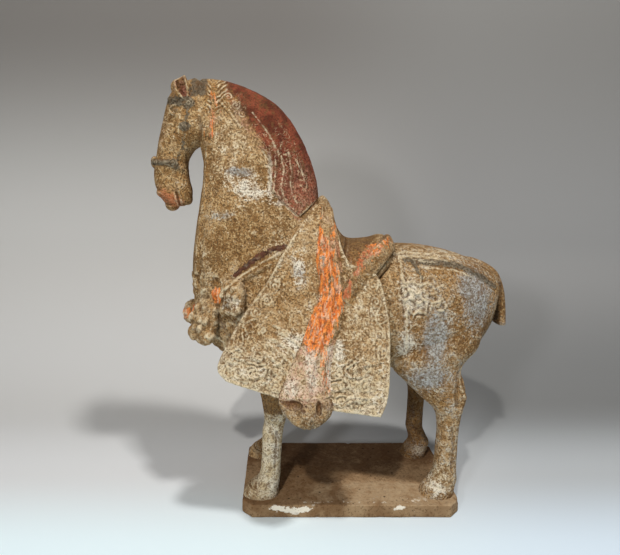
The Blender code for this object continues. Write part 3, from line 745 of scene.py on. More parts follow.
def add_sash(soup, side):
    """Add the sash that hangs over the mudguard in pleats and bulges at its folded end."""
    outer = []
    inner = []
    for x_left, z_left, x_right, z_right, stand in faired(SASH):
        line = []
        under = []
        for c in range(SASH_COLUMNS + 1):
            s = c / SASH_COLUMNS
            x = x_left + (x_right - x_left) * s
            z = z_left + (z_right - z_left) * s
            swell = max(0.0, math.sin(math.pi * s)) ** 0.55
            pleat = SASH_PLEAT_DEPTH * math.cos(2 * math.pi * SASH_PLEATS * s) * swell
            line.append((x, side * (read(FLARE, z) + stand * swell - pleat), z))
            under.append((x, side * (read(FLARE, z) - SASH_SUNK), z))
        outer.append(line)
        inner.append(under)
    add_slab(soup, outer, inner, side)


def chest_turn(heading, tilt, side):
    """Turn a thing that faces forward to face a direction round the chest."""
    turn = Matrix.Rotation(math.radians(-side * heading), 4, 'Z')
    return turn @ Matrix.Rotation(math.radians(tilt), 4, 'Y')


def add_petals(soup, middle, turn, lift, reach, size):
    """Add six petals round a middle."""
    for k in range(6):
        angle = math.pi * k / 3
        petal = Vector((lift, reach[0] * math.cos(angle), reach[1] * math.sin(angle)))
        add_ball(soup, middle + turn @ petal, size, turn)


def add_pendant(soup, place, heading, width, length, side):
    """Add one leaf that hangs from the breast strap and stands off the chest."""
    x, y, z = place
    turn = chest_turn(heading, PENDANT_TILT, side)
    middle = Vector((x, side * y, z)) + turn @ Vector((-2, 0, -length * 0.42))
    add_ball(soup, middle, (PENDANT_THICKNESS / 2, width * 0.46, length / 2), turn, 0.72)
    for lobe in (-1, 1):
        tip = middle + turn @ Vector((-1, lobe * width * 0.24, -length * 0.30))
        add_ball(soup, tip, (PENDANT_THICKNESS * 0.46, width * 0.24, length * 0.19), turn)
    boss = middle + turn @ Vector((-PENDANT_THICKNESS * 0.30, 0, length * 0.02))
    add_ball(soup, boss, (4.6, width * 0.20, length * 0.20), turn)
    add_petals(soup, boss, turn, -1.2, (width * 0.26, length * 0.24), (3.4, width * 0.10, length * 0.10))


def add_rosette(soup, place, heading, side):
    """Add one small flower of six petals round a bead."""
    x, y, z = place
    turn = chest_turn(heading, 0, side)
    middle = Vector((x, side * y, z))
    add_ball(soup, middle, (2.6, 1.7, 1.7), turn)
    add_petals(soup, middle, turn, 0.6, (3.1, 3.1), (1.9, 1.6, 1.6))


def add_ear(soup, side):
    """Add one ear: a rolled cup that opens outwards, narrow below and wide above."""
    outer = []
    inner = []
    for r in range(EAR_LEVELS + 1):
        t = r / EAR_LEVELS
        radius = float(read(EAR_RADII, t))
        opening = math.pi * float(read(EAR_OPENING, t))
        heading = math.radians(EAR_FACINGS[0] + (EAR_FACINGS[1] - EAR_FACINGS[0]) * t)
        centre = Vector(EAR_ROOT).lerp(Vector(EAR_TIP), t)
        shell = []
        hollow = []
        for c in range(EAR_COLUMNS + 1):
            angle = heading + opening + (2 * math.pi - 2 * opening) * c / EAR_COLUMNS
            out = Vector((-math.cos(angle), math.sin(angle), 0)) * radius
            rise = Vector((0, 0, 2.2 * t * math.cos(angle - heading + 0.9)))
            spot = centre + out - rise
            near = centre + out * 0.66 - rise + Vector((0, 0, 1.2 * (1 - t)))
            shell.append((spot.x, side * spot.y, spot.z))
            hollow.append((near.x, side * near.y, near.z))
        outer.append(shell)
        inner.append(hollow)
    add_slab(soup, outer, inner, side)


def add_eyelids(soup, side):
    """Add the two lids as one bead round the eyeball."""
    x, y, z = EYE
    lids = []
    for k in range(13):
        angle = 2 * math.pi * k / 12
        across = side * (y + 2.0 - 1.2 * math.cos(angle) ** 2)
        lids.append((x + 6.4 * math.cos(angle), across, z + 4.2 * math.sin(angle)))
    add_cord(soup, lids, 1.0, 3)


def add_head_details(soup):
    """Add ears, eyes, cheeks, forelock, lips and bridle."""
    for side in (-1, 1):
        add_ear(soup, side)
        add_eyelids(soup, side)
        for points, radius in BRIDLE_CORDS:
            add_cord(soup, [(x, side * y, z) for x, y, z in points], radius)
        for (x, y, z), size in HEAD_BALLS:
            add_ball(soup, (x, side * y, z), size)
    for place, size in HEAD_MIDDLE_BALLS:
        add_ball(soup, place, size)


def add_harness(soup):
    """Add the breast strap with its pendants and rosettes."""
    for side in (-1, 1):
        add_cord(soup, [(x, side * y, z) for x, z, y in BREAST_STRAP], 3.2)
        for place, heading, width, length in PENDANTS:
            if place[1] or side < 0:
                add_pendant(soup, place, heading, width, length, side)
        for place, heading in ROSETTES:
            add_rosette(soup, place, heading, side)


def body_forms(soup):
    """Trunk, head, legs and tail."""
    add_profile_loft(soup, TRUNK)
    add_profile_loft(soup, HEAD)
    add_head_details(soup)
    add_profile_loft(soup, TAIL, 0.75)
    add_harness(soup)
    for side in (-1, 1):
        add_leg(soup, FORELEG, side)
        for (x, y, z), size in LIMB_MUSCLES:
            add_ball(soup, (x, side * y, z), size)
    add_leg(soup, HIND_LEG, -1)
    add_leg(soup, HIND_LEG, 1, FAR_HIND_LEAD, FAR_HIND_SLIMNESS)


def saddle_forms(soup):
    """Seat, pommel and the raised rim that closes the back of the seat."""
    add_profile_loft(soup, SADDLE)
    rim = []
    for x, y, z, a, b, c in reversed(CANTLE[1:]):
        rim.append((x, y, z - FAR_RIM_DROP * min(1.0, y / 30), a, b, c))
    for x, y, z, a, b, c in CANTLE:
        rim.append((x, -y, z, a, -b, c))
    add_band(soup, rim, CANTLE_HALF_WIDTH, CANTLE_HALF_THICKNESS)


def guard_forms(soup, side):
    """One mudguard with the sash that hangs over it."""
    add_mudguard(soup, side)
    add_sash(soup, side)


def shaped(forms, *details):
    """Build forms in parts, and set them in their place on the plinth in metres."""
    soup = bmesh.new()
    forms(soup, *details)
    matrix = Matrix.Translation(HORSE_ORIGIN) @ Matrix.Scale(PART, 4)
    bmesh.ops.transform(soup, matrix=matrix, verts=soup.verts)
    return soup


def new_piece(name, soup):
    """Turn a bmesh into an object of the scene."""
    mesh = bpy.data.meshes.new(name)
    soup.to_mesh(mesh)
    soup.free()
    piece = bpy.data.objects.new(name, mesh)
    bpy.context.scene.collection.objects.link(piece)
    return piece


def apply_modifiers(piece):
    """Bake an object's modifiers into its mesh."""
    graph = bpy.context.evaluated_depsgraph_get()
    baked = bpy.data.meshes.new_from_object(piece.evaluated_get(graph))
    piece.modifiers.clear()
    piece.data = baked


def fuse(piece, grain, softening):
    """Fuse the forms into one skin on a fine grid and soften the grid's steps."""
    skin = piece.modifiers.new("Fuse", 'REMESH')
    skin.mode = 'VOXEL'
    skin.voxel_size = grain
    soft = piece.modifiers.new("Soften", 'SMOOTH')
    soft.factor = 0.5
    soft.iterations = softening
    apply_modifiers(piece)


def thin_out(piece, triangles):
    """Bring the skin down to its budget of triangles."""
    count = len(piece.data.polygons) * 2
    if count <= triangles:
        return
    coarse = piece.modifiers.new("Thin out", 'DECIMATE')
    coarse.ratio = triangles / count
    coarse.use_collapse_triangulate = True
    apply_modifiers(piece)


def rows_of(mesh, name):
    """Vertex places in metres, or vertex normals, as rows."""
    out = np.empty(len(mesh.vertices) * 3)
    mesh.vertices.foreach_get(name, out)
    return out.reshape(-1, 3)


def distance_to(path, x, z, reach=FAR + 2):
    """Distance of side view points from a path, their side of it, and how far along it.

    Points further than reach from the path's box are given the distance reach.
    """
    spots = np.array(path, float)
    low = spots.min(0) - reach
    high = spots.max(0) + reach
    close = (x > low[0]) & (x < high[0]) & (z > low[1]) & (z < high[1])
    near_x = x[close]
    near_z = z[close]
    nearest = np.full(len(near_x), np.inf)
    side_of = np.zeros(len(near_x))
    along = np.zeros(len(near_x))
    start = 0.0
    for (x0, z0), (x1, z1) in zip(spots, spots[1:]):
        run = np.array((x1 - x0, z1 - z0))
        size = float(run @ run)
        t = np.clip(((near_x - x0) * run[0] + (near_z - z0) * run[1]) / size, 0.0, 1.0)
        gap_x = near_x - x0 - t * run[0]
        gap_z = near_z - z0 - t * run[1]
        gap = np.hypot(gap_x, gap_z)
        closer = gap < nearest
        nearest = np.where(closer, gap, nearest)
        side_of = np.where(closer, np.sign(run[0] * gap_z - run[1] * gap_x), side_of)
        along = np.where(closer, start + t * math.sqrt(size), along)
        start += math.sqrt(size)
    out = np.zeros((3, len(x)))
    out[0] = reach
    out[:, close] = nearest, side_of, along
    return out


def depth_inside(outline, x, z):
    """Distance inside a closed outline, negative outside."""
    closed = list(outline) + [outline[0]]
    gap = distance_to(closed, x, z, 400)[0]
    inside = np.zeros(len(x), bool)
    for (x0, z0), (x1, z1) in zip(closed, closed[1:]):
        if z0 != z1:
            crosses = (z0 > z) != (z1 > z)
            inside ^= crosses & (x < (x1 - x0) * (z - z0) / (z1 - z0) + x0)
    return np.where(inside, gap, -gap)


def curl(x, z, radius, hand, turns, start):
    """Points of a scroll that winds in to a middle, with its tail outside."""
    points = []
    for k in range(CURL_STEPS + 1):
        t = k / CURL_STEPS
        angle = start + hand * 2 * math.pi * turns * t
        reach = radius * (1.0 - 0.86 * t)
        points.append((x + reach * math.cos(angle), z + reach * math.sin(angle)))
    return points


def lattice_noise(places, size, seed):
    """Smooth random values from -1 to 1 that change over the given size."""
    table = np.random.RandomState(seed).uniform(-1, 1, (32, 32, 32))
    spot = places / size
    cell = np.floor(spot).astype(int)
    t = spot - cell
    t = t * t * (3 - 2 * t)
    total = np.zeros(len(places))
    for corner in range(8):
        step = np.array((corner & 1, corner >> 1 & 1, corner >> 2 & 1))
        weight = np.prod(np.where(step, t, 1 - t), axis=1)
        at = (cell + step) % 32
        total += weight * table[at[:, 0], at[:, 1], at[:, 2]]
    return total


def ramp(value, none, full):
    """Go straight from 0 where a value is none to 1 where it is full, and stay there."""
    return np.clip((value - none) / (full - none), 0, 1)


def glow_of(x, z, row):
    """A soft round patch: 1 at its middle (x, z), fading over its half sizes (x, z)."""
    return np.exp(-((x - row[0]) / row[2]) ** 2 - ((z - row[1]) / row[3]) ** 2)


class Skin:
    """Relief and paint, worked out at points of the skin, in parts or another unit."""

    def __init__(self, places, origin=HORSE_ORIGIN, unit=PART):
        count = len(places)
        self.grid = (places - np.array(origin)) / unit
        self.x, self.y, self.z = self.grid.T
        self.out = np.abs(self.y)
        self.rise = np.zeros(count)
        self.rough = np.ones(count)
        self.blind = np.zeros(count, bool)
        self.paint = {name: np.full(count, -FAR) for name in EDGED}
        self.paint.update({name: np.zeros(count) for name in SOFT})

    def noise(self, size, seed, stretch=(1, 1, 1)):
        """Smooth random values over the skin."""
        return lattice_noise(self.grid * stretch, size, seed)

    def lift(self, gap, half_width, height, where=True):
        """Raise a rounded line, or press it in, given the distance from its middle."""
        self.rise += np.where(where, height * np.clip(1 - (gap / half_width) ** 2, 0, 1), 0)

    def bead(self, path, half_width, height, where=True):
        """Raise a rounded line along a path, and give back the distance from it."""
        gap = distance_to(path, self.x, self.z)[0]
        self.lift(gap, half_width, height, where)
        return gap

    def mark(self, field, depth, where=True):
        """Widen a painted or incised field, given the distance inside its edge."""
        old = self.paint[field]
        self.paint[field] = np.where(where, np.maximum(old, np.clip(depth, -FAR, FAR)), old)

    def line(self, field, path, half_width, where=True):
        """Paint a line along a path, and give back the distance from it."""
        gap = distance_to(path, self.x, self.z)[0]
        self.mark(field, half_width - gap, where)
        return gap

    def add(self, where=True, **amounts):
        """Add amounts to soft fields, where the skin is of a kind."""
        for field, amount in amounts.items():
            self.paint[field] += np.where(where, amount, 0.0)

    def patches(self, table, where=True):
        """Add the soft patches of every field in a table."""
        for field, rows in table.items():
            for row in rows:
                self.add(where, **{field: row[4] * glow_of(self.x, self.z, row)})

    def incise(self, path, half_width, depth, where=True):
        """Press a line into the clay and let dirt settle in it."""
        gap = self.bead(path, half_width, -depth, where)
        self.mark("groove", half_width * 0.7 - gap, where)

    def ridge(self, path, half_width, height, where, pale, groove=None, foot=0.0):
        """Raise a line, pale along its top and with soil at a distance from it."""
        gap = self.bead(path, half_width, height, where)
        self.mark("pale", pale - gap, where)
        if groove is not None:
            self.mark("groove", groove - np.abs(gap - foot), where)
        return gap

    def engrave(self, path, half_width, height, where):
        """Raise one worn line of ornament."""
        self.ridge(path, half_width, height, where, half_width * 0.50, -0.15, half_width * 1.3)


def carve_mane(skin):
    """Raise the mane with its few long strands, and colour it red."""
    x, z, out = skin.x, skin.z, skin.out
    below_crest = distance_to(CREST, x, z, 90)[0]
    inside_edge, above_edge, _ = distance_to(MANE_EDGE, x, z, 90)
    foot_gap, before_foot, _ = distance_to(MANE_FOOT, x, z, 160)
    on_mane = (above_edge > 0) & (before_foot > 0) & (x > -121) & (out < 42)
    lift = ramp(inside_edge, 0, 1.5) * ramp(below_crest, 0, MANE_CREST_BLEND) * ramp(z, 322, 300)
    sway = 3.0 * skin.noise(12.0, 5) + 1.2 * skin.noise(5.0, 6)
    comb = np.cos(2 * math.pi * (below_crest + sway) / MANE_COMB_PITCH)
    skin.rise += np.where(on_mane, lift * (MANE_RELIEF + 0.16 * comb), 0.0)
    for path in MANE_STRANDS:
        skin.ridge(faired(path, 5), 1.3, 0.45, on_mane, 0.55, 0.3, 1.6)
    red_gap, red_side, _ = distance_to(RED_EDGE, x, z, 90)
    red = np.minimum(red_gap * red_side, foot_gap * before_foot)
    skin.mark("red", np.where(out < 44, red, -FAR), z > 240)
    edge = inside_edge * above_edge
    skin.mark("pale", 0.9 - np.abs(edge + 0.2), (z < 306) & (before_foot > 0))
    skin.patches(MANE_PATCHES, out > 8)
    skin.lift(below_crest - 5.5, 1.2, 0.3, on_mane & (x > -90) & (z > 270))
    on_red = red > 0
    skin.add(on_red, dust=-0.35 + 0.80 * ramp(z, 346, 271), slip=-0.3, soil=0.36 * ramp(z, 305, 345))
    skin.add(on_red & (below_crest > 7), scratch=0.60 * ramp(z, 338, 318))
    worn = ramp(red, -16, -4) * ramp(z, 292, 306) * ramp(z, 356, 348)
    skin.add((red < 1) & (x > -106), pink=0.55 * worn, soil=0.20 * worn)


def carve_neck(skin):
    """Add the throat ridge, the braid, the seam line and the curls of the neck."""
    x, z = skin.x, skin.z
    side = (skin.out > 6) & (z > 180)
    gap = skin.ridge(faired(THROAT_RIDGE, 4), 2.6, 1.2, side, 0.35, 0.2, 3.6)
    skin.lift(gap - 4.2, 2.0, -0.5, side & (x > -134))
    skin.add(side & (x < -118), slip=-0.25 * ramp(gap, 8, 3))
    gap = skin.ridge(faired(NECK_SEAM, 4), 1.3, 0.4, side, 0.2, -0.05, 1.8)
    skin.lift(gap - 1.8, 1.0, -0.3, side)
    gap, _, along = distance_to(faired(BRAID_AXIS, 4), x, z, 16)
    ragged = 1.1 * skin.noise(3.6, 8)
    reach = np.where(x > -116, 13.0 - 0.16 * along, 7.0)
    band = side & (gap + ragged < reach) & (gap + ragged > 2.0) & (along < 34)
    woven = np.cos(2 * math.pi * (along + 0.85 * gap + 1.3 * ragged) / BRAID_PITCH)
    woven *= ramp(reach - gap, 0, 3) * ramp(along, 34, 26)
    skin.rise += np.where(band, 0.36 * woven, 0)
    skin.mark("pale", woven - 0.45, band)
    skin.mark("groove", (-woven - 0.60) * 0.8, band)
    orange = np.minimum(np.minimum(2.8 - gap, (along - 16) * 0.3), (42 - along) * 0.15)
    skin.mark("orange", np.minimum(orange, -0.2), side)
    for k, (cx, cz, radius) in enumerate(NECK_CURLS):
        path = curl(cx, cz, radius, 1 if k % 2 else -1, 1.3, 0.8 + k)
        skin.ridge(path, 1.0, 0.45, side, 0.5, 0.5, 1.3)
    skin.patches(NECK_PATCHES, side)


def carve_head(skin):
    """Sink nostrils and mouth, score the bridle, and colour the head."""
    x, z, out = skin.x, skin.z, skin.out
    head = x < HEAD_X
    for row in DIMPLES:
        dimple = glow_of(x, z, row)
        skin.rise -= np.where(head & (out > 2), row[4] * dimple, 0)
        skin.add(head, soil=0.7 * dimple)
    skin.incise(faired(MOUTH_CORNER, 4), 1.3, 1.0, head & (out > 4))
    skin.incise(MOUTH, 1.1, 0.6, head & (out > 3))
    skin.line("pale", LIP_LINE, 0.6, head & (out > 4))
    skin.bead(faired(FACE_RIDGE, 4), 2.4, 0.5, head & (out > 9))
    skin.incise(faired(JAW_LINE, 4), 2.2, 0.6, head & (out > 11))
    for path, half_width, nearest in STRAP_PAINT:
        skin.line("grey", path, half_width, head & (out > nearest))
    gap = distance_to(THIN_STRAP, x, z)[0]
    skin.mark("grey", np.minimum(1.1 - gap, 0.25), head & (out > 10))
    skin.line("pale", CHEEK_LINE, 0.3, head & (out > 10))
    for boss_x, boss_z, radius in BOSSES:
        gap = np.hypot(x - boss_x, z - boss_z)
        skin.mark("grey", radius - gap, head & (out > 8))
        skin.lift(gap - 2.6, 0.8, -0.4, head)
    crown = np.maximum(np.abs(x - CROWN[0]) / CROWN[2], np.abs(z - CROWN[1]) / CROWN[3])
    skin.mark("grey", (1 - crown) * 6, head & (out < 26) & (x > -137))
    carve_ear(skin)
    skin.patches(HEAD_PATCHES, head)
    skin.add(head & (x < -130) & (z < 350), slip=-0.10)
    skin.rough *= np.where(head & (x < -128), 0.55, 1.0)


def carve_ear(skin):
    """Colour the inside of the ears, and leave their edges pale."""
    share = ramp(skin.z, EAR_ROOT[2], EAR_TIP[2])
    middle_x = EAR_ROOT[0] + (EAR_TIP[0] - EAR_ROOT[0]) * share
    middle_y = EAR_ROOT[1] + (EAR_TIP[1] - EAR_ROOT[1]) * share
    reach = np.hypot(skin.x - middle_x, skin.out - middle_y) / read(EAR_RADII, share)
    at_ear = (skin.z > 348) & (reach < 1.3) & (skin.out > 6)
    skin.mark("red", (0.82 - reach) * 6, at_ear)
    skin.add(at_ear, dust=0.5, slip=-0.2)


def carve_chest(skin):
    """Add the painted strap and the ridge beside it, and lumps and flowers on the pendants."""
    x, z, out = skin.x, skin.z, skin.out
    side = out > 22
    gap, _, along = distance_to(faired(DARK_STRAP, 4), x, z)
    skin.lift(gap, 3.0, 0.5, side)
    taper = 2.3 * ramp(along, -4.4, 3.6)
    skin.mark("dark", taper - gap, side & (skin.y < 0))
    skin.mark("grey", taper - gap, side & (skin.y > 0))
    skin.ridge(faired(STRAP_RIDGE, 4), 1.6, 0.7, side, 0.8)
    on_pendant = (x < -86) & (z < 200) & (z > 128) & (x + z < 86)
    lumps = skin.noise(5.2, 61) + 0.5 * skin.noise(2.8, 62)
    skin.rise += np.where(on_pendant, 1.1 * lumps, 0)
    skin.mark("pale", (lumps - 0.42) * 2.0, on_pendant)
    skin.add(on_pendant, soil=0.35 * ramp(lumps, 0, -0.5))
    skin.patches(CHEST_PATCHES, side)
    skin.patches(PENDANT_PATCHES, out > 10)
    for place, _ in ROSETTES:
        ball = np.sqrt((x - place[0]) ** 2 + (out - place[1]) ** 2 + (z - place[2]) ** 2)
        skin.mark("orange", (6.8 - ball) * 2.5)
        skin.add(soil=0.6 * np.exp(-(ball / 1.8) ** 2))


def carve_rump(skin):
    """Add the hip welt, the crupper, the croup ridges and worn lines on the hip."""
    x, z, out = skin.x, skin.z, skin.out
    rear = x > REAR_X
    side = rear & (out > 24)
    strap = rear & (out > 9)
    skin.add(blue=0.24 * ramp(x, REAR_X, REAR_X + 8))
    skin.ridge(HIP_WELT, 2.0, 0.7, side, 0.9, 0.25, 2.4)
    gap, side_of, along = distance_to(faired(CRUPPER, 4), x, z)
    skin.rise += np.where(strap, 0.9 * np.clip(1 - (gap / 2.8) ** 4, 0, 1), 0)
    skin.mark("grey", 2.5 * ramp(along, -1.5, 3.5) - gap, strap & (along < 86))
    under = np.abs(gap - 4.2)
    skin.mark("pale", 0.7 - under, strap & (side_of < 0) & (along > 14) & (along < 62))
    skin.lift(under, 1.2, 0.3, strap & (side_of < 0))
    gap = skin.bead(faired(HANGING_TAG, 4), 2.2, 0.5, side)
    skin.mark("grey", 1.8 - gap, side)
    below = distance_to(CROUP, x, z, 40)[0] + 0.8 * skin.noise(5.0, 23, (0.4, 1, 1))
    for depth, start, stop in CROUP_RIDGES:
        ends = rear & (x > start) & (x < stop) & (z > 205) & (out > 3)
        skin.lift(below - depth, 0.9, -0.5, ends)
        skin.mark("groove", 0.25 - np.abs(below - depth), ends)
        skin.mark("pale", 0.4 - np.abs(below - depth - 1.4), ends)
    for path in HIP_LINES:
        skin.engrave(faired(path, 5), 1.7, 0.9, side)
    worn = side & (x < 84) & (z > 120) & (z < 205)
    wave = np.cos(2 * math.pi * (skin.noise(11.0, 21) + 0.5 * skin.noise(6.0, 22)) * 1.7)
    wave *= glow_of(x, z, HIP_SWIRL)
    skin.rise += np.where(worn, 0.55 * wave, 0)
    skin.mark("pale", (wave - 0.35) * 1.6, worn)
    skin.mark("groove", (-wave - 0.60) * 1.2, worn)
    gap, side_of, _ = distance_to(faired(THIGH_RIM, 4), x, z)
    side = rear & (out > 34)
    skin.lift(gap, 1.8, 0.7, side)
    skin.mark("pale", 0.7 - gap, side)
    skin.lift(gap - 2.6, 1.3, -0.8, side & (side_of > 0))
    skin.mark("groove", 0.8 - np.abs(gap - 2.6), side & (side_of > 0))
    tail = (x > 124) & (out < 12)
    skin.rough *= np.where(tail, 0.45, 1.0)
    skin.add(tail, slip=-0.35, soil=0.22)
    skin.add(tail & (x < 140) & (z < 190), soil=0.45)


def carve_legs(skin):
    """Add tendons, hocks and the hooves' upper edge, and paint shade on the hidden sides of the legs and
    on the forelegs under the mudguards.
    """
    x, z, out = skin.x, skin.z, skin.out
    fore = x < 0
    hock = (out > 38) & (x > 80)
    low = (z < 100) & (out > 12)
    skin.incise(HIND_TENDON, 1.8, 0.5, low & (x > 50))
    skin.incise(FORE_TENDON, 1.6, 0.45, low & fore)
    skin.bead(HOCK_CORD, 3.0, 0.8, hock)
    skin.incise(HOCK_HOLLOW, 2.4, 0.7, hock)
    gap = np.abs(z - np.where(fore, 8.0 - 0.12 * (x + 78), 10.5))
    foot = (z < 24) & (out > 10)
    skin.lift(gap, 1.2, -0.5, foot)
    skin.mark("pale", 0.45 - gap, foot)
    skin.mark("groove", 0.4 - np.abs(gap - 1.0), foot & fore)
    # Painted shade: less slip and more soil colour on the upper forelegs under the mudguards, on the
    # inner sides of the near legs, and on the far legs, where it fades out upwards
    fade = ramp(z, LEG_TOP, LEG_TOP - 40)
    under_guard_shade = (x < -40) & (z > 78) & (z < 112)
    inner = (z < LEG_TOP) & (out < 27) & (skin.y < 0)
    far = (z < LEG_TOP) & (skin.y > 0) & (np.abs(x) > 40)
    shank = (z < 78) & fore
    skin.add(under_guard_shade, slip=-0.45, soil=0.55)
    skin.add(inner, slip=-0.25, soil=0.20)
    skin.add(far, slip=-0.45 * fade)
    skin.add(far & (x > 0), soil=0.55 * fade)
    skin.add(shank & (skin.y < 0), slip=0.15)
    skin.add(shank, blue=0.10)
    skin.rough *= np.where(z < 80, 0.7, 1.0)


def body_skin(places):
    """Relief and paint of the horse's own body."""
    skin = Skin(places)
    skin.add(slip=0.26)
    carve_mane(skin)
    carve_neck(skin)
    carve_head(skin)
    carve_chest(skin)
    carve_rump(skin)
    carve_legs(skin)
    skin.patches(BODY_PATCHES, skin.out > 5)
    skin.patches(HIP_PATCHES, skin.out > 20)
    skin.add(skin.x > REAR_X, scratch=0.20)
    neck_cut = np.where(skin.x < 0, np.abs(skin.z - NECK_SPLIT_Z), FAR)
    cut = np.minimum(np.abs(skin.x - BODY_SPLIT_X), neck_cut)
    skin.blind = cut < SPLIT_LAP + SEAM_BLIND
    return skin


def carve_sash(skin):
    """Pleat the sash, hollow its folded end, paint it orange and pink, and paint a highlight down its
    lower pleats.
    """
    x, z, out = skin.x, skin.z, skin.out
    rows = faired(SASH, 4)[::-1]
    left = read([((row[1] + row[3]) / 2, row[0]) for row in rows], z)
    right = read([((row[1] + row[3]) / 2, row[2]) for row in rows], z)
    share = (x - left) / (right - left)
    proud = out > read(FLARE, z) - 1.5
    on_sash = (share > -0.02) & (share < 1.02) & (z > SASH_FOOT) & (z < SASH_HEAD) & proud
    skin.rise[on_sash] = 0
    for name in ("pale", "groove"):
        skin.paint[name][on_sash] = -FAR
    for name in ("white", "soil", "scratch"):
        skin.paint[name][on_sash] = 0
    drift = 0.10 * np.sin(z / 12.0) + 0.12 * skin.noise(9.0, 31, (1, 1, 0.25))
    folds = np.cos(2 * math.pi * SASH_FOLDS * (share + drift))
    fine = np.cos(2 * math.pi * SASH_FINE_PLEATS * (share + drift * 0.9))
    fine *= np.clip(0.6 + 1.6 * skin.noise(9.0, 33), 0, 1)
    body = on_sash & (z > SASH_FOLD_LINE - 1)
    skin.rise += np.where(body, 0.20 * folds + (0.05 + 0.14 * ramp(z, 150, 120)) * fine, 0)
    skin.mark("pale", (fine - 0.45) * 0.9, body & (z < 146))
    skin.add(on_sash & (z < 150), scratch=0.3)
    skin.lift(z - SASH_FOLD_LINE, 1.4, 0.7, on_sash)
    skin.mark("groove", 0.3 - np.abs(z - SASH_FOLD_LINE + 2.0), on_sash)
    for x_mid, z_mid, half_x, half_z, depth in FOLD_HOLLOWS:
        spread = ((x - x_mid) / half_x) ** 2 + ((z - z_mid) / half_z) ** 2
        skin.lift(spread, 1.0, -depth, out > 88)
        skin.add(on_sash, soil=0.3 * np.exp(-spread), pink=0.4 * np.exp(-spread))
    orange = np.minimum(x - read(ORANGE_LEFT, z), read(ORANGE_RIGHT, z) - x)
    orange = np.minimum(orange, (z - 146) * 0.5) + 0.1
    orange = np.maximum(orange, 1.2 - distance_to(SECOND_STRAND, x, z)[0])
    skin.mark("orange", np.minimum(orange, 2.2), on_sash)
    stripe = 2.2 - distance_to(RED_STRIPE, x, z)[0]
    skin.mark("orange", np.minimum(stripe, 0.1), on_sash)
    skin.paint["slip"] = np.where(on_sash, np.where(z > 150, 0.36, 0.70), skin.paint["slip"])
    # A painted highlight: a silvery white streak down the lower pleats
    skin.add(on_sash, white=SILVER_HIGHLIGHT[4] * glow_of(x + z * 0.1, z, SILVER_HIGHLIGHT))
    skin.add(on_sash & (z < 150), white=0.22)
    skin.add(on_sash, pink=np.where(z < 155, 0.42 * ramp(z, 100, 112) + 0.10, 0.30))
    for row in VIOLETS:
        violet = row[4] * glow_of(x, z, row)
        skin.add(on_sash, blue=0.6 * violet, orange=-3.0 * violet)
    skin.patches(SASH_PATCHES, on_sash)
    end = on_sash & (z < SASH_FOLD_LINE - 3)
    skin.rough = np.where(end, 3.0, skin.rough)
    skin.add(end, soil=0.40, slip=-0.25)


def guard_outline():
    """The mudguard's outline in the side view: front edge, hem and rear edge."""
    rows = mudguard_rows(4)
    front = [mudguard_point(0.0, row) for row in rows]
    hem = [mudguard_point(c / 10, rows[-1]) for c in range(1, 10)]
    rear = [mudguard_point(1.0, row) for row in reversed(rows)]
    return front, hem, rear


def vine(path, depth, start, stop):
    """A running scroll to the right of a path: its wavy stem, and one curl in every wave."""
    spots = np.array(path, float)
    ahead = np.gradient(spots, axis=0)
    ahead /= np.hypot(ahead[:, 0], ahead[:, 1])[:, None]
    hand = np.stack((-ahead[:, 1], ahead[:, 0]), 1)
    spots += hand * depth
    steps = np.hypot(*np.diff(spots, axis=0).T)
    way = np.concatenate(([0.0], np.cumsum(steps)))
    stop = way[-1] if stop is None else stop

    def at(a, offset):
        return tuple(np.interp(a, way, spots[:, k]) + offset * np.interp(a, way, hand[:, k])
                     for k in (0, 1))

    lines = [[at(a, VINE_SWING * math.sin(math.pi * (a - start) / VINE_PITCH))
              for a in np.arange(start, stop, 1.6)]]
    for k in range(int((stop - start) / VINE_PITCH)):
        swing = -1 if k % 2 else 1
        middle = at(start + VINE_PITCH * (k + 0.5), -0.9 * swing)
        root = at(start + VINE_PITCH * k, 0.0)
        bearing = math.atan2(root[1] - middle[1], root[0] - middle[0])
        lines.append(curl(middle[0], middle[1], VINE_PITCH * 0.33, swing, 1.4, bearing))
    return lines


def carve_guard_face(skin):
    """Edge the mudguard with a rim and a running scroll, and fill its field."""
    x, z = skin.x, skin.z
    front, hem, rear = guard_outline()
    inside = depth_inside(front + hem + rear, x, z)
    lower = z < RIM_TOP
    field = z < FIELD_TOP
    skin.lift(inside - 1.3, 1.3, 0.45, lower)
    skin.mark("pale", 0.5 - np.abs(inside - 1.2), (inside > -1) & ((z < 212) | ((x < -40) & lower)))
    skin.mark("groove", 0.2 - np.abs(inside - RIM_WIDTH - 0.9), lower)
    skin.lift(inside - BORDER_WIDTH, 1.2, 0.35, field)
    skin.mark("pale", 0.1 - np.abs(inside - BORDER_WIDTH), field)
    skin.mark("groove", 0.05 - np.abs(inside - BORDER_WIDTH - 1.6), field)
    for path in vine(front + hem, *FRONT_VINE) + vine(rear, *REAR_VINE):
        skin.engrave(path, 1.4, 0.7, lower)
    for cx, cz, radius, hand in GUARD_FIELD_CURLS:
        skin.engrave(curl(cx, cz, radius, hand, 1.3, cx * 0.2), 1.5, 0.7, lower)
    for path in CLOUD_LINES:
        skin.engrave(faired(path, 5), 2.0, 1.0, lower)
    worm = np.cos(2 * math.pi * (skin.noise(13.0, 41) + 0.35 * skin.noise(6.0, 42)) * 1.9)
    worm *= ramp(z, 160, 134) * ramp(inside, 2, 6)
    skin.rise += np.where(lower, 0.65 * worm, 0)
    skin.add(lower, white=0.45 * ramp(worm, 0, 1), soil=0.22 * ramp(worm, -0.2, -1.2),
             slip=0.30 * np.clip(1 - inside / 5, 0, 1), scratch=0.10 + 0.45 * ramp(z, 165, 125))


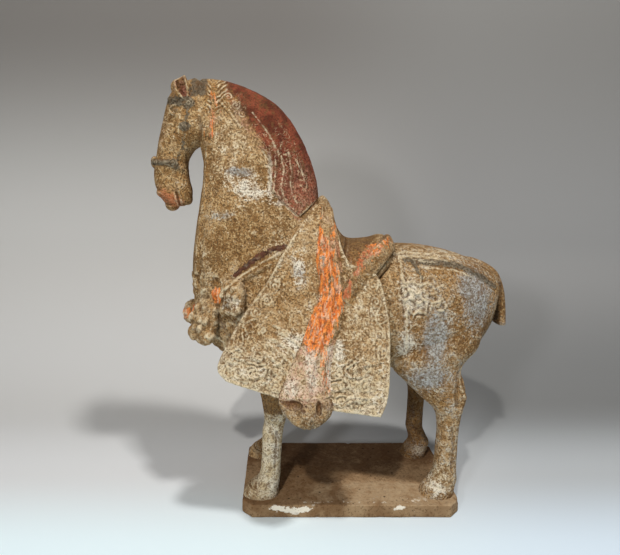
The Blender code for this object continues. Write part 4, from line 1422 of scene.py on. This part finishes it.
def guard_skin(places):
    """Relief and paint of one mudguard with its sash, and a plain inner face."""
    skin = Skin(places)
    skin.add(slip=0.37)
    carve_guard_face(skin)
    skin.patches(GUARD_PATCHES)
    skin.add(slip=0.22 * ramp(skin.z, 135, 115))
    carve_sash(skin)
    inner_face = skin.out <= read(FLARE, skin.z) - MUDGUARD_WALL * 0.5
    skin.rise[inner_face] = 0
    skin.rough[inner_face] = 0.2
    for name in EDGED:
        skin.paint[name][inner_face] = -FAR
    skin.paint["slip"][inner_face] = 0.15
    return skin


def saddle_skin(places):
    """Relief and paint of the seat, the pommel and the cantle."""
    skin = Skin(places)
    x, z, out = skin.x, skin.z, skin.out
    skin.add(slip=np.where(x < SEAT_X, 0.34, 0.26))
    for path in SEAT_CREASES:
        skin.incise(faired(path, 4), 1.7, 1.0, out > 10)
    gap, side_of, along = distance_to(faired(CANTLE_STRIPE, 4), x, z)
    width = 2.8 - along * 0.012
    rim = (out > 22) & (x > -12)
    skin.mark("orange", np.minimum(width - gap, 0.9), rim)
    skin.mark("groove", 0.3 - np.abs(gap - width - 0.8), rim)
    skin.lift(gap, width, -0.4, rim)
    skin.add(rim & (gap < width + 1), dust=np.clip((along - 8) / 20, 0.15, 0.9))
    seat = (x > SEAT_X) & (side_of < 0) & (gap > width)
    skin.add(seat, soil=0.55, slip=-0.25)
    skin.add(seat & (out > 10), pink=0.25)
    skin.add((x > SEAT_X) & (side_of > 0), soil=0.26, scratch=0.5)
    skin.patches(SADDLE_PATCHES, out > 20)
    skin.rough *= 0.8
    return skin


def plinth_skin(places):
    """Relief and paint of the plinth, in millimetres, with a painted pool of light on the front of its
    top and painted shadow over the rest of the top.
    """
    skin = Skin(places, (0, 0, 0), 0.001)
    front = skin.y < PLINTH_LOW.y * 1000 + 1.5
    top = skin.z > PLINTH_HIGH.z * 1000 - 1.0
    for x, y, z, size in CHIPS:
        gap = np.sqrt((skin.x - x) ** 2 + (skin.y - y) ** 2 + (skin.z - z) ** 2)
        skin.rise -= np.clip(1 - gap / size, 0, 1)
        skin.add(soil=0.4 * np.exp(-(gap / size) ** 2))
    skin.patches(PLINTH_PATCHES, front)
    for row in TOP_WHITES:
        skin.add(top, white=row[4] * glow_of(skin.x, skin.y, row))
    skin.rough *= 0.55
    # Painted light and shadow on the top: a pale film where the lamps light its front, and darker soil
    # colour that grows toward the back, where the horse shades it
    skin.add(top, slip=0.7 * ramp(skin.y, -14, -24) * ramp(skin.x, -55, -25),
             soil=0.16 + 0.5 * ramp(skin.y, -10, 30))
    return skin


def weather(skin, seed):
    """Uneven the clay: slow swells, small bumps and grain, and scattered pits."""
    bumps = 0.30 * skin.noise(14.0, seed)
    bumps += 0.15 * skin.noise(4.6, seed + 1)
    bumps += 0.12 * skin.noise(2.1, seed + 2)
    pits = ramp(skin.noise(3.1, seed + 3), 0.62, 1.0)
    return skin.rough * (bumps - 0.9 * pits ** 1.5)


def hollowness(mesh):
    """How far each vertex lies below the middle of its neighbours, in parts, smoothed."""
    places = rows_of(mesh, "co") / PART
    pairs = np.empty(len(mesh.edges) * 2, dtype=np.int32)
    mesh.edges.foreach_get("vertices", pairs)
    pairs = pairs.reshape(-1, 2)
    short = np.linalg.norm(places[pairs[:, 0]] - places[pairs[:, 1]], axis=1) < SHORT_EDGE
    first, second = pairs[short].T
    count = len(places)
    degree = np.bincount(first, minlength=count) + np.bincount(second, minlength=count)
    degree = np.maximum(degree, 1)

    def spread(values):
        total = np.bincount(first, values[second], count)
        return (total + np.bincount(second, values[first], count)) / degree

    offset = np.stack([spread(places[:, k]) - places[:, k] for k in range(3)], 1)
    hollow = np.sum(offset * rows_of(mesh, "normal"), 1)
    for _ in range(2):
        hollow = 0.5 * hollow + 0.5 * spread(hollow)
    return hollow


def store(mesh, skin):
    """Keep the paint fields on the mesh as named attributes for the material."""
    fields = dict(skin.paint)
    # How hollow the skin is: the material puts soil and painted shade in hollows, and pale wear with a
    # painted highlight on edges
    fields["hollow"] = np.where(skin.blind, 0.0, hollowness(mesh))
    for name, values in fields.items():
        attribute = mesh.attributes.new(name, 'FLOAT', 'POINT')
        attribute.data.foreach_set("value", values.astype(np.float32))


def cast(name, soup, grain, work_out, softening, seed):
    """Fuse forms into one skin, and move it outwards by its relief and its weathering."""
    bmesh.ops.recalc_face_normals(soup, faces=soup.faces[:])
    piece = new_piece(name, soup)
    fuse(piece, grain, softening)
    mesh = piece.data
    places = rows_of(mesh, "co")
    skin = work_out(places)
    rise = (skin.rise + weather(skin, seed)) * PART
    moved = places + rows_of(mesh, "normal") * rise[:, None]
    mesh.vertices.foreach_set("co", moved.ravel())
    mesh.update()
    mesh.shade_smooth()
    return piece


def cut_off(body, place, away):
    """Cut away all that lies beyond a plane, close the cut flat, and give back its rim."""
    everything = body.verts[:] + body.edges[:] + body.faces[:]
    cut = bmesh.ops.bisect_plane(body, geom=everything, plane_co=place, plane_no=away,
                                 clear_outer=True)
    rim = [e for e in cut['geom_cut'] if isinstance(e, bmesh.types.BMEdge)]
    bmesh.ops.holes_fill(body, edges=rim, sides=0)
    return rim


def split(piece, name, planes):
    """Copy the part of a piece behind every plane, with crisp rims at the cuts.

    A plane is a place in parts and the direction that is cut away.
    """
    body = bmesh.new()
    body.from_mesh(piece.data)
    for place, away in planes:
        for edge in cut_off(body, Vector(place) * PART + Vector(HORSE_ORIGIN), away):
            edge.smooth = False
    bmesh.ops.triangulate(body, faces=[f for f in body.faces if len(f.verts) > 4])
    return new_piece(name, body)


def finish_piece(piece, work_out, triangles, material, node):
    """Thin a piece, store its paint fields, and tie it to the model."""
    thin_out(piece, triangles)
    mesh = piece.data
    mesh.name = piece.name
    store(mesh, work_out(rows_of(mesh, "co")))
    mesh.materials.clear()
    mesh.materials.append(material)
    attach(piece, "root")
    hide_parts(node)


def build_body(material):
    """Make the horse's body as three pieces of one skin: head, chest and hindquarters."""
    soup = shaped(body_forms)
    body = cast("body_skin", soup, BODY_GRAIN, body_skin, softening=5, seed=100)
    back = ((BODY_SPLIT_X + SPLIT_LAP, 0, 0), (1, 0, 0))
    front = ((BODY_SPLIT_X - SPLIT_LAP, 0, 0), (-1, 0, 0))
    above = ((0, 0, NECK_SPLIT_Z + SPLIT_LAP), (0, 0, 1))
    below = ((0, 0, NECK_SPLIT_Z - SPLIT_LAP), (0, 0, -1))
    for name, planes, triangles in (("head_and_neck", [back, below], HEAD_TRIANGLES),
                                    ("chest_and_forelegs", [back, above], CHEST_TRIANGLES),
                                    ("hindquarters", [front], REAR_TRIANGLES)):
        piece = split(body, name, planes)
        finish_piece(piece, body_skin, triangles, material, "horse")
    bpy.data.objects.remove(body, do_unlink=True)


def build_saddle(material):
    """Make the saddle with its cantle."""
    soup = shaped(saddle_forms)
    saddle = cast("saddle", soup, SADDLE_GRAIN, saddle_skin, softening=4, seed=300)
    finish_piece(saddle, saddle_skin, SADDLE_TRIANGLES, material, "horse")


def build_guard(material, side, name, triangles):
    """Make one mudguard with its sash."""
    soup = shaped(guard_forms, side)
    guard = cast(name, soup, GUARD_GRAIN, guard_skin, softening=4, seed=200 + side)
    finish_piece(guard, guard_skin, triangles, material, "horse")


def build_plinth(material):
    """Make the low slab with its four corners cut off, chipped and pitted."""
    slab = bmesh.new()
    size = PLINTH_HIGH - PLINTH_LOW
    middle = (PLINTH_HIGH + PLINTH_LOW) / 2
    matrix = Matrix.Translation(middle) @ Matrix.Diagonal((*size, 1.0))
    bmesh.ops.create_cube(slab, size=1.0, matrix=matrix)
    for sign_x in (-1, 1):
        for sign_y in (-1, 1):
            corner = Vector((sign_x * (size.x / 2 - PLINTH_CORNER_CUT), sign_y * size.y / 2, 0))
            cut_off(slab, middle + corner, (sign_x, sign_y, 0))
    plinth = cast("plinth_slab", slab, PLINTH_GRAIN, plinth_skin, softening=3, seed=400)
    finish_piece(plinth, plinth_skin, PLINTH_TRIANGLES, material, "plinth")


def srgb(red, green, blue):
    """Linear colour of an 8-bit screen colour."""
    def linear(value):
        value /= 255.0
        return value / 12.92 if value <= 0.04045 else ((value + 0.055) / 1.055) ** 2.4
    return (linear(red), linear(green), linear(blue), 1.0)


class Graph:
    """Builds a node material by short calls."""

    def __init__(self, name):
        self.material = bpy.data.materials.new(name)
        self.material.use_nodes = True
        self.tree = self.material.node_tree
        self.shader = self.tree.nodes["Principled BSDF"]
        metres = self.add('ShaderNodeTexCoord', {}).outputs['Object']
        self.place = self.stretch(metres, MILLIMETRES)

    def add(self, kind, inputs, **settings):
        """Add a node with some settings, and link or set each named or numbered socket."""
        node = self.tree.nodes.new(kind)
        for setting, value in settings.items():
            setattr(node, setting, value)
        for socket, value in inputs.items():
            if isinstance(value, bpy.types.NodeSocket):
                self.tree.links.new(value, node.inputs[socket])
            else:
                node.inputs[socket].default_value = value
        return node

    def stretch(self, place, factors, shift=0.0):
        """Scale and shift texture coordinates."""
        inputs = {'Vector': place, 'Scale': factors, 'Location': (shift, shift, shift)}
        return self.add('ShaderNodeMapping', inputs).outputs['Vector']

    def maths(self, operation, a, b=0.5):
        """One step of arithmetic."""
        return self.add('ShaderNodeMath', {0: a, 1: b}, operation=operation).outputs[0]

    def noise(self, size, detail=2.0, roughness=0.55, stretch=(1, 1, 1), shift=0.0, twist=0.0):
        """Smooth noise whose features are about size millimetres wide."""
        node = self.add('ShaderNodeTexNoise', {
            'Vector': self.stretch(self.place, stretch, shift), 'Scale': 1.0 / size,
            'Detail': detail, 'Roughness': roughness, 'Distortion': twist})
        return node.outputs['Fac']

    def dots(self, size, shift=0.0):
        """Distance from scattered points, in shares of their spacing."""
        place = self.stretch(self.place, (1, 1, 1), shift)
        node = self.add('ShaderNodeTexVoronoi', {'Vector': place, 'Scale': 1.0 / size})
        return node.outputs['Distance']

    def step(self, value, low, high, most=1.0):
        """Go smoothly from 0 to the most between two values."""
        inputs = {'Value': value, 'From Min': low, 'From Max': high, 'To Max': most}
        node = self.add('ShaderNodeMapRange', inputs, interpolation_type='SMOOTHSTEP')
        return node.outputs['Result']

    def mix(self, factor, a, b):
        """Mix two colours, each a socket or an 8-bit screen colour."""
        a, b = (srgb(*c) if isinstance(c, tuple) else c for c in (a, b))
        inputs = {'Factor': factor, 6: a, 7: b}
        return self.add('ShaderNodeMix', inputs, data_type='RGBA').outputs[2]

    def coats(self, colour, *rows):
        """Lay coats over a colour: value, low and high level, strongest share, colour."""
        for value, low, high, most, coat in rows:
            colour = self.mix(self.step(value, low, high, most), colour, coat)
        return colour

    def field(self, name, *waves):
        """A field that is stored on the mesh, with centred noises of some strengths added."""
        node = self.add('ShaderNodeAttribute', {}, attribute_name=name)
        return self.wander(node.outputs['Fac'], *waves)

    def wander(self, value, *waves):
        """Add centred noises, each with its strength, to a value."""
        for noise, strength in waves:
            centred = self.maths('SUBTRACT', noise, 0.5)
            value = self.maths('ADD', value, self.maths('MULTIPLY', centred, strength))
        return value

    def hairs(self, noise, half_width):
        """Thin lines that follow the middle level of a noise."""
        off = self.maths('ABSOLUTE', self.maths('SUBTRACT', noise, 0.5))
        return self.step(off, half_width, half_width * 0.4)

    def finish(self, colour, roughness, specular, height=None, distance=0.0):
        """Give the surface its colour, gloss and fine bump."""
        shader = self.shader.inputs
        self.tree.links.new(colour, shader['Base Color'])
        shader['Roughness'].default_value = roughness
        shader['Specular IOR Level'].default_value = specular
        if height is not None:
            bump = self.add('ShaderNodeBump', {
                'Distance': distance, 'Strength': 1.0, 'Height': height})
            self.tree.links.new(bump.outputs['Normal'], shader['Normal'])


def lay_clay(g, waves):
    """Bare clay with soil colours at several scales, and pale and dark flecks."""
    grain, fleck, mid, broad = waves
    return g.coats(
        DARK_CLAY,
        (broad, 0.40, 0.60, 1.0, OCHRE_CLAY),
        (mid, 0.40, 0.68, 0.7, PALE_CLAY),
        (fleck, 0.46, 0.66, 0.60, SAND),
        (grain, 0.50, 0.38, 0.85, GRAIN_SHADE))


def lay_slip(g, colour, waves):
    """Whitish slip as a thin film and as flecks, thinned as painted shade on the hidden sides of the
    legs, with whitewash, a painted highlight on the sash, and blue-grey areas.
    """
    grain, fleck, mid, broad = waves
    chalk = g.coats(CHALK, (g.noise(7.0, 2.0, shift=11.0), 0.4, 0.6, 1.0, BRIGHT_CHALK))
    grey = g.coats(CLOUD_GREY, (fleck, 0.42, 0.6, 1.0, BLUE_GREY))
    return g.coats(
        colour,
        (g.field("slip", (broad, 1.2), (mid, 1.2), (fleck, 0.5)), 0.00, 0.80, 0.72, FILM),
        (g.field("slip", (mid, 1.4), (fleck, 1.1), (grain, 1.3)), 0.36, 0.90, 0.85, chalk),
        (g.field("blue", (broad, 0.6), (mid, 1.0), (fleck, 0.7)), 0.16, 0.80, 0.80, grey),
        (g.field("white", (mid, 1.3), (fleck, 1.1), (grain, 0.9)), 0.22, 0.80, 0.88, WHITEWASH_AND_HIGHLIGHT),
        (g.field("pink", (mid, 1.4), (fleck, 1.2)), 0.30, 0.95, 0.65, PINK),
        (grain, 0.49, 0.39, 0.62, SLIP_SHADE))


def lay_paint(g, colour, waves):
    """Red, orange, dark brown and grey paint, each worn back along ragged edges."""
    grain, fleck, mid, _ = waves
    wear = g.noise(4.0, 3.0, 0.65, shift=57.0)
    streak = g.noise(2.2, 3.0, 0.6, stretch=(1, 1, 0.07), shift=19.0)
    strokes = g.noise(2.6, 3.0, 0.6, stretch=(1, 1, 0.10), shift=29.0)
    dust = g.field("dust", (wear, 1.1), (fleck, 1.1), (grain, 0.7))
    ruddy = g.coats(
        DEEP_RED,
        (g.noise(13.0, 2.0, shift=71.0), 0.4, 0.62, 1.0, RED),
        (dust, 0.05, 0.95, 0.75, DUSTY_RED),
        (grain, 0.49, 0.39, 0.6, RED_SHADE))
    glow = g.coats(
        DEEP_ORANGE,
        (streak, 0.38, 0.60, 1.0, BRIGHT_ORANGE),
        (strokes, 0.50, 0.62, 0.7, BARE_STROKE),
        (dust, 0.15, 0.85, 0.8, DUSTY_ORANGE),
        (grain, 0.47, 0.38, 0.45, ORANGE_SHADE))
    umber = g.coats(UMBER, (wear, 0.4, 0.6, 1.0, PALE_UMBER))
    slate = g.coats(SLATE, (fleck, 0.40, 0.62, 1.0, PALE_SLATE))
    return g.coats(
        colour,
        (g.field("red", (mid, 12.0), (fleck, 8.0)), -2.6, 3.0, 1.0, ruddy),
        (g.field("orange", (streak, 16.0), (wear, 7.0), (fleck, 3.0)), -0.6, 1.5, 0.95, glow),
        (g.field("dark", (wear, 6.0), (fleck, 4.0)), -0.2, 0.4, 1.0, umber),
        (g.field("grey", (wear, 5.0), (fleck, 4.0)), -0.4, 0.9, 0.88, slate))


def lay_lines(g, colour, waves):
    """Pale worn ridges, dirty grooves, scratches, specks of soil, soil and painted shade in the hollows,
    and a painted highlight on edges.
    """
    _, fleck, mid, _ = waves
    breaks = g.noise(5.0, 2.0, shift=83.0)
    pale = g.step(g.field("pale", (fleck, 2.6), (mid, 1.6)), -0.40, 0.60)
    pale = g.maths('MULTIPLY', pale, g.step(breaks, 0.34, 0.58, 0.72))
    hairs = g.hairs(g.noise(6.5, 1.0, 0.5, shift=91.0, twist=1.6), 0.030)
    cracks = g.hairs(g.noise(7.0, 1.0, 0.5, shift=47.0, twist=1.8), 0.024)
    amount = g.step(g.field("scratch", (breaks, 1.8)), 0.35, 0.75, 0.55)
    groove = g.field("groove", (fleck, 1.8), (mid, 0.8))
    hollow = g.field("hollow")
    specks = g.maths('MULTIPLY', g.step(g.dots(4.2), 0.19, 0.09), g.step(mid, 0.46, 0.55, 0.85))
    colour = g.mix(pale, colour, WORN_RIDGE)
    colour = g.coats(colour, (groove, -0.4, 0.6, 0.50, GROOVE_SOIL))
    colour = g.mix(g.maths('MULTIPLY', hairs, amount), colour, HAIRLINE)
    cracks = g.maths('MULTIPLY', cracks, g.maths('MULTIPLY', amount, 0.9))
    colour = g.coats(
        g.mix(cracks, colour, CRACK_SOIL),
        # Soil and painted shade in the hollows
        (hollow, 0.012, 0.09, 0.66, HOLLOW_SOIL_AND_SHADE),
        # Pale wear with a painted highlight on convex edges
        (hollow, -0.02, -0.10, 0.48, RUBBED_AND_HIGHLIT_EDGE),
        (g.noise(4.4, 2.0, 0.6, shift=33.0), 0.45, 0.36, 0.55, STAIN),
        # Soil, and painted shade on the hidden sides of the legs
        (g.field("soil", (mid, 1.4), (fleck, 1.2)), 0.15, 0.90, 0.80, SOIL_AND_SHADE))
    return g.mix(specks, colour, SPECK)


def painted_pottery():
    """Fired clay with slip, paint and burial soil, with painted shade and painted highlights."""
    g = Graph("painted pottery")
    grain = g.noise(1.45, 2.0, 0.65)
    fleck = g.noise(2.2, 2.0, 0.6, shift=5.0, twist=0.4)
    mid = g.noise(8.0, 3.0, 0.65, shift=7.0)
    waves = (grain, fleck, mid, g.noise(26.0, 3.0, 0.55, shift=3.0))
    colour = lay_lines(g, lay_paint(g, lay_slip(g, lay_clay(g, waves), waves), waves), waves)
    height = g.wander(0.5, (grain, 1.0), (fleck, 1.0), (mid, 0.6))
    g.finish(colour, 0.92, 0.25, height, 0.0012)
    return g.material


def bare_pottery():
    """The plinth's browner clay, with pinholes, remains of whitewash, soil and painted shade in hollows,
    and a painted pool of light and painted shadow on its top.
    """
    g = Graph("bare pottery")
    grain = g.noise(2.1, 3.0, 0.7)
    fleck = g.noise(3.6, 2.0, 0.6, shift=5.0)
    mid = g.noise(9.0, 3.0, 0.6, shift=7.0)
    broad = g.noise(34.0, 3.0, 0.6, shift=3.0)
    colour = g.coats(
        SLAB_BROWN,
        (broad, 0.38, 0.62, 1.0, SLAB_OCHRE),
        (mid, 0.45, 0.65, 0.4, SLAB_PALE),
        (grain, 0.46, 0.39, 0.6, SLAB_SHADE),
        (g.field("white", (mid, 1.6), (fleck, 1.4)), 0.46, 0.62, 1.0, SLAB_WHITE),
        # Soil and painted shade in the hollows
        (g.field("hollow"), 0.015, 0.11, 0.5, SLAB_HOLLOW_SOIL_AND_SHADE),
        # A painted pool of light on the front of the top
        (g.field("slip", (broad, 1.5), (mid, 2.0)), 0.3, 1.3, 0.6, SLAB_PAINTED_LIGHT),
        # Soil round the chips, and painted shadow over the top
        (g.field("soil", (mid, 1.2), (fleck, 0.8)), 0.10, 0.80, 0.75, SLAB_SOIL_AND_SHADOW))
    holes = g.maths('MULTIPLY', g.step(g.dots(7.0, 3.0), 0.19, 0.08),
                    g.step(mid, 0.46, 0.54, 0.85))
    height = g.wander(0.5, (grain, 0.6), (fleck, 0.5))
    g.finish(g.mix(holes, colour, PINHOLE), 0.93, 0.2, height, 0.0004)
    return g.material


def backdrop_paper():
    """Pale paper with painted light and shade, greyer to the right and upwards, that is clear when seen
    from behind.
    """
    g = Graph("backdrop paper")
    axes = g.add('ShaderNodeSeparateXYZ', {0: g.place}).outputs
    across = g.step(axes['X'], -100.0, 220.0)
    front, floor, foot, wall, top = [g.mix(across, left, right) for left, right in PAPER_LIGHT_AND_SHADE_COLOURS]
    # Painted light and shade: bright in front, darker backwards and upwards as the lamps' light falls
    # off, and greyer to the right where the horse's shadow is painted
    colour = g.coats(
        front,
        (axes['Y'], -110.0, 20.0, 1.0, floor),
        (axes['Y'], 20.0, 190.0, 1.0, foot),
        (axes['Z'], 20.0, 180.0, 1.0, wall),
        (axes['Z'], 180.0, 520.0, 1.0, top))
    g.finish(colour, 0.95, 0.5)
    facing = g.add('ShaderNodeNewGeometry', {})
    clear = g.add('ShaderNodeBsdfTransparent', {})
    either = g.add('ShaderNodeMixShader', {
        0: facing.outputs['Backfacing'], 1: g.shader.outputs[0], 2: clear.outputs[0]})
    output = next(n for n in g.tree.nodes if n.type == 'OUTPUT_MATERIAL')
    g.tree.links.new(either.outputs[0], output.inputs['Surface'])
    return g.material


def build_stage():
    """A pale sweep: floor and wall in one curve."""
    profile = [(SWEEP_FRONT, 0.0), (SWEEP_WALL - SWEEP_RADIUS, 0.0)]
    for k in range(1, SWEEP_STEPS + 1):
        angle = math.pi / 2 * k / SWEEP_STEPS
        profile.append((SWEEP_WALL - SWEEP_RADIUS + SWEEP_RADIUS * math.sin(angle),
                        SWEEP_RADIUS - SWEEP_RADIUS * math.cos(angle)))
    profile.append((SWEEP_WALL, SWEEP_TOP))
    sheet = bmesh.new()
    rows = [[sheet.verts.new((side * SWEEP_HALF_WIDTH, y, z - SWEEP_SUNK)) for side in (-1, 1)]
            for y, z in profile]
    for low, high in zip(rows, rows[1:]):
        sheet.faces.new((low[0], low[1], high[1], high[0]))
    backdrop = new_piece("backdrop", sheet)
    backdrop.data.shade_smooth()
    backdrop.data.materials.append(backdrop_paper())


def build_lights():
    """Soft square lamps in front and above, facing the horse, and a little light all round."""
    for name, toward, size, power_watts, colour in LAMPS:
        data = bpy.data.lights.new(name, 'AREA')
        data.shape = 'SQUARE'
        data.size = size
        data.energy = power_watts
        data.color = colour
        lamp = bpy.data.objects.new(name, data)
        aim = Vector(toward).normalized()
        lamp.location = Vector(LIGHT_TARGET) + aim * LAMP_DISTANCE
        lamp.rotation_euler = aim.to_track_quat('Z', 'Y').to_euler()
        bpy.context.scene.collection.objects.link(lamp)
    world = bpy.data.worlds.new("room light")
    bpy.context.scene.world = world
    world.use_nodes = True
    ambient = world.node_tree.nodes["Background"]
    ambient.inputs["Color"].default_value = AMBIENT_COLOUR
    ambient.inputs["Strength"].default_value = AMBIENT_STRENGTH
    bpy.context.scene.view_settings.view_transform = 'Standard'


def build_camera():
    """Set the camera where the photograph was taken."""
    data = bpy.data.cameras.new("camera")
    data.lens = CAMERA_LENS
    data.sensor_width = CAMERA_SENSOR
    data.sensor_fit = 'HORIZONTAL'
    data.shift_x = CAMERA_SHIFT
    data.clip_start = 0.02
    camera = bpy.data.objects.new("camera", data)
    camera.location = CAMERA_PLACE
    camera.rotation_euler = (math.radians(90 - CAMERA_DIP), 0, 0)
    bpy.context.scene.collection.objects.link(camera)
    bpy.context.scene.camera = camera


def main():
    """Build the whole scene."""
    build_camera()
    build_stage()
    build_lights()
    painted = painted_pottery()
    build_body(painted)
    build_saddle(painted)
    build_guard(painted, -1, "near_mudguard_and_sash", NEAR_GUARD_TRIANGLES)
    build_guard(painted, 1, "far_mudguard_and_sash", FAR_GUARD_TRIANGLES)
    build_plinth(bare_pottery())


main()
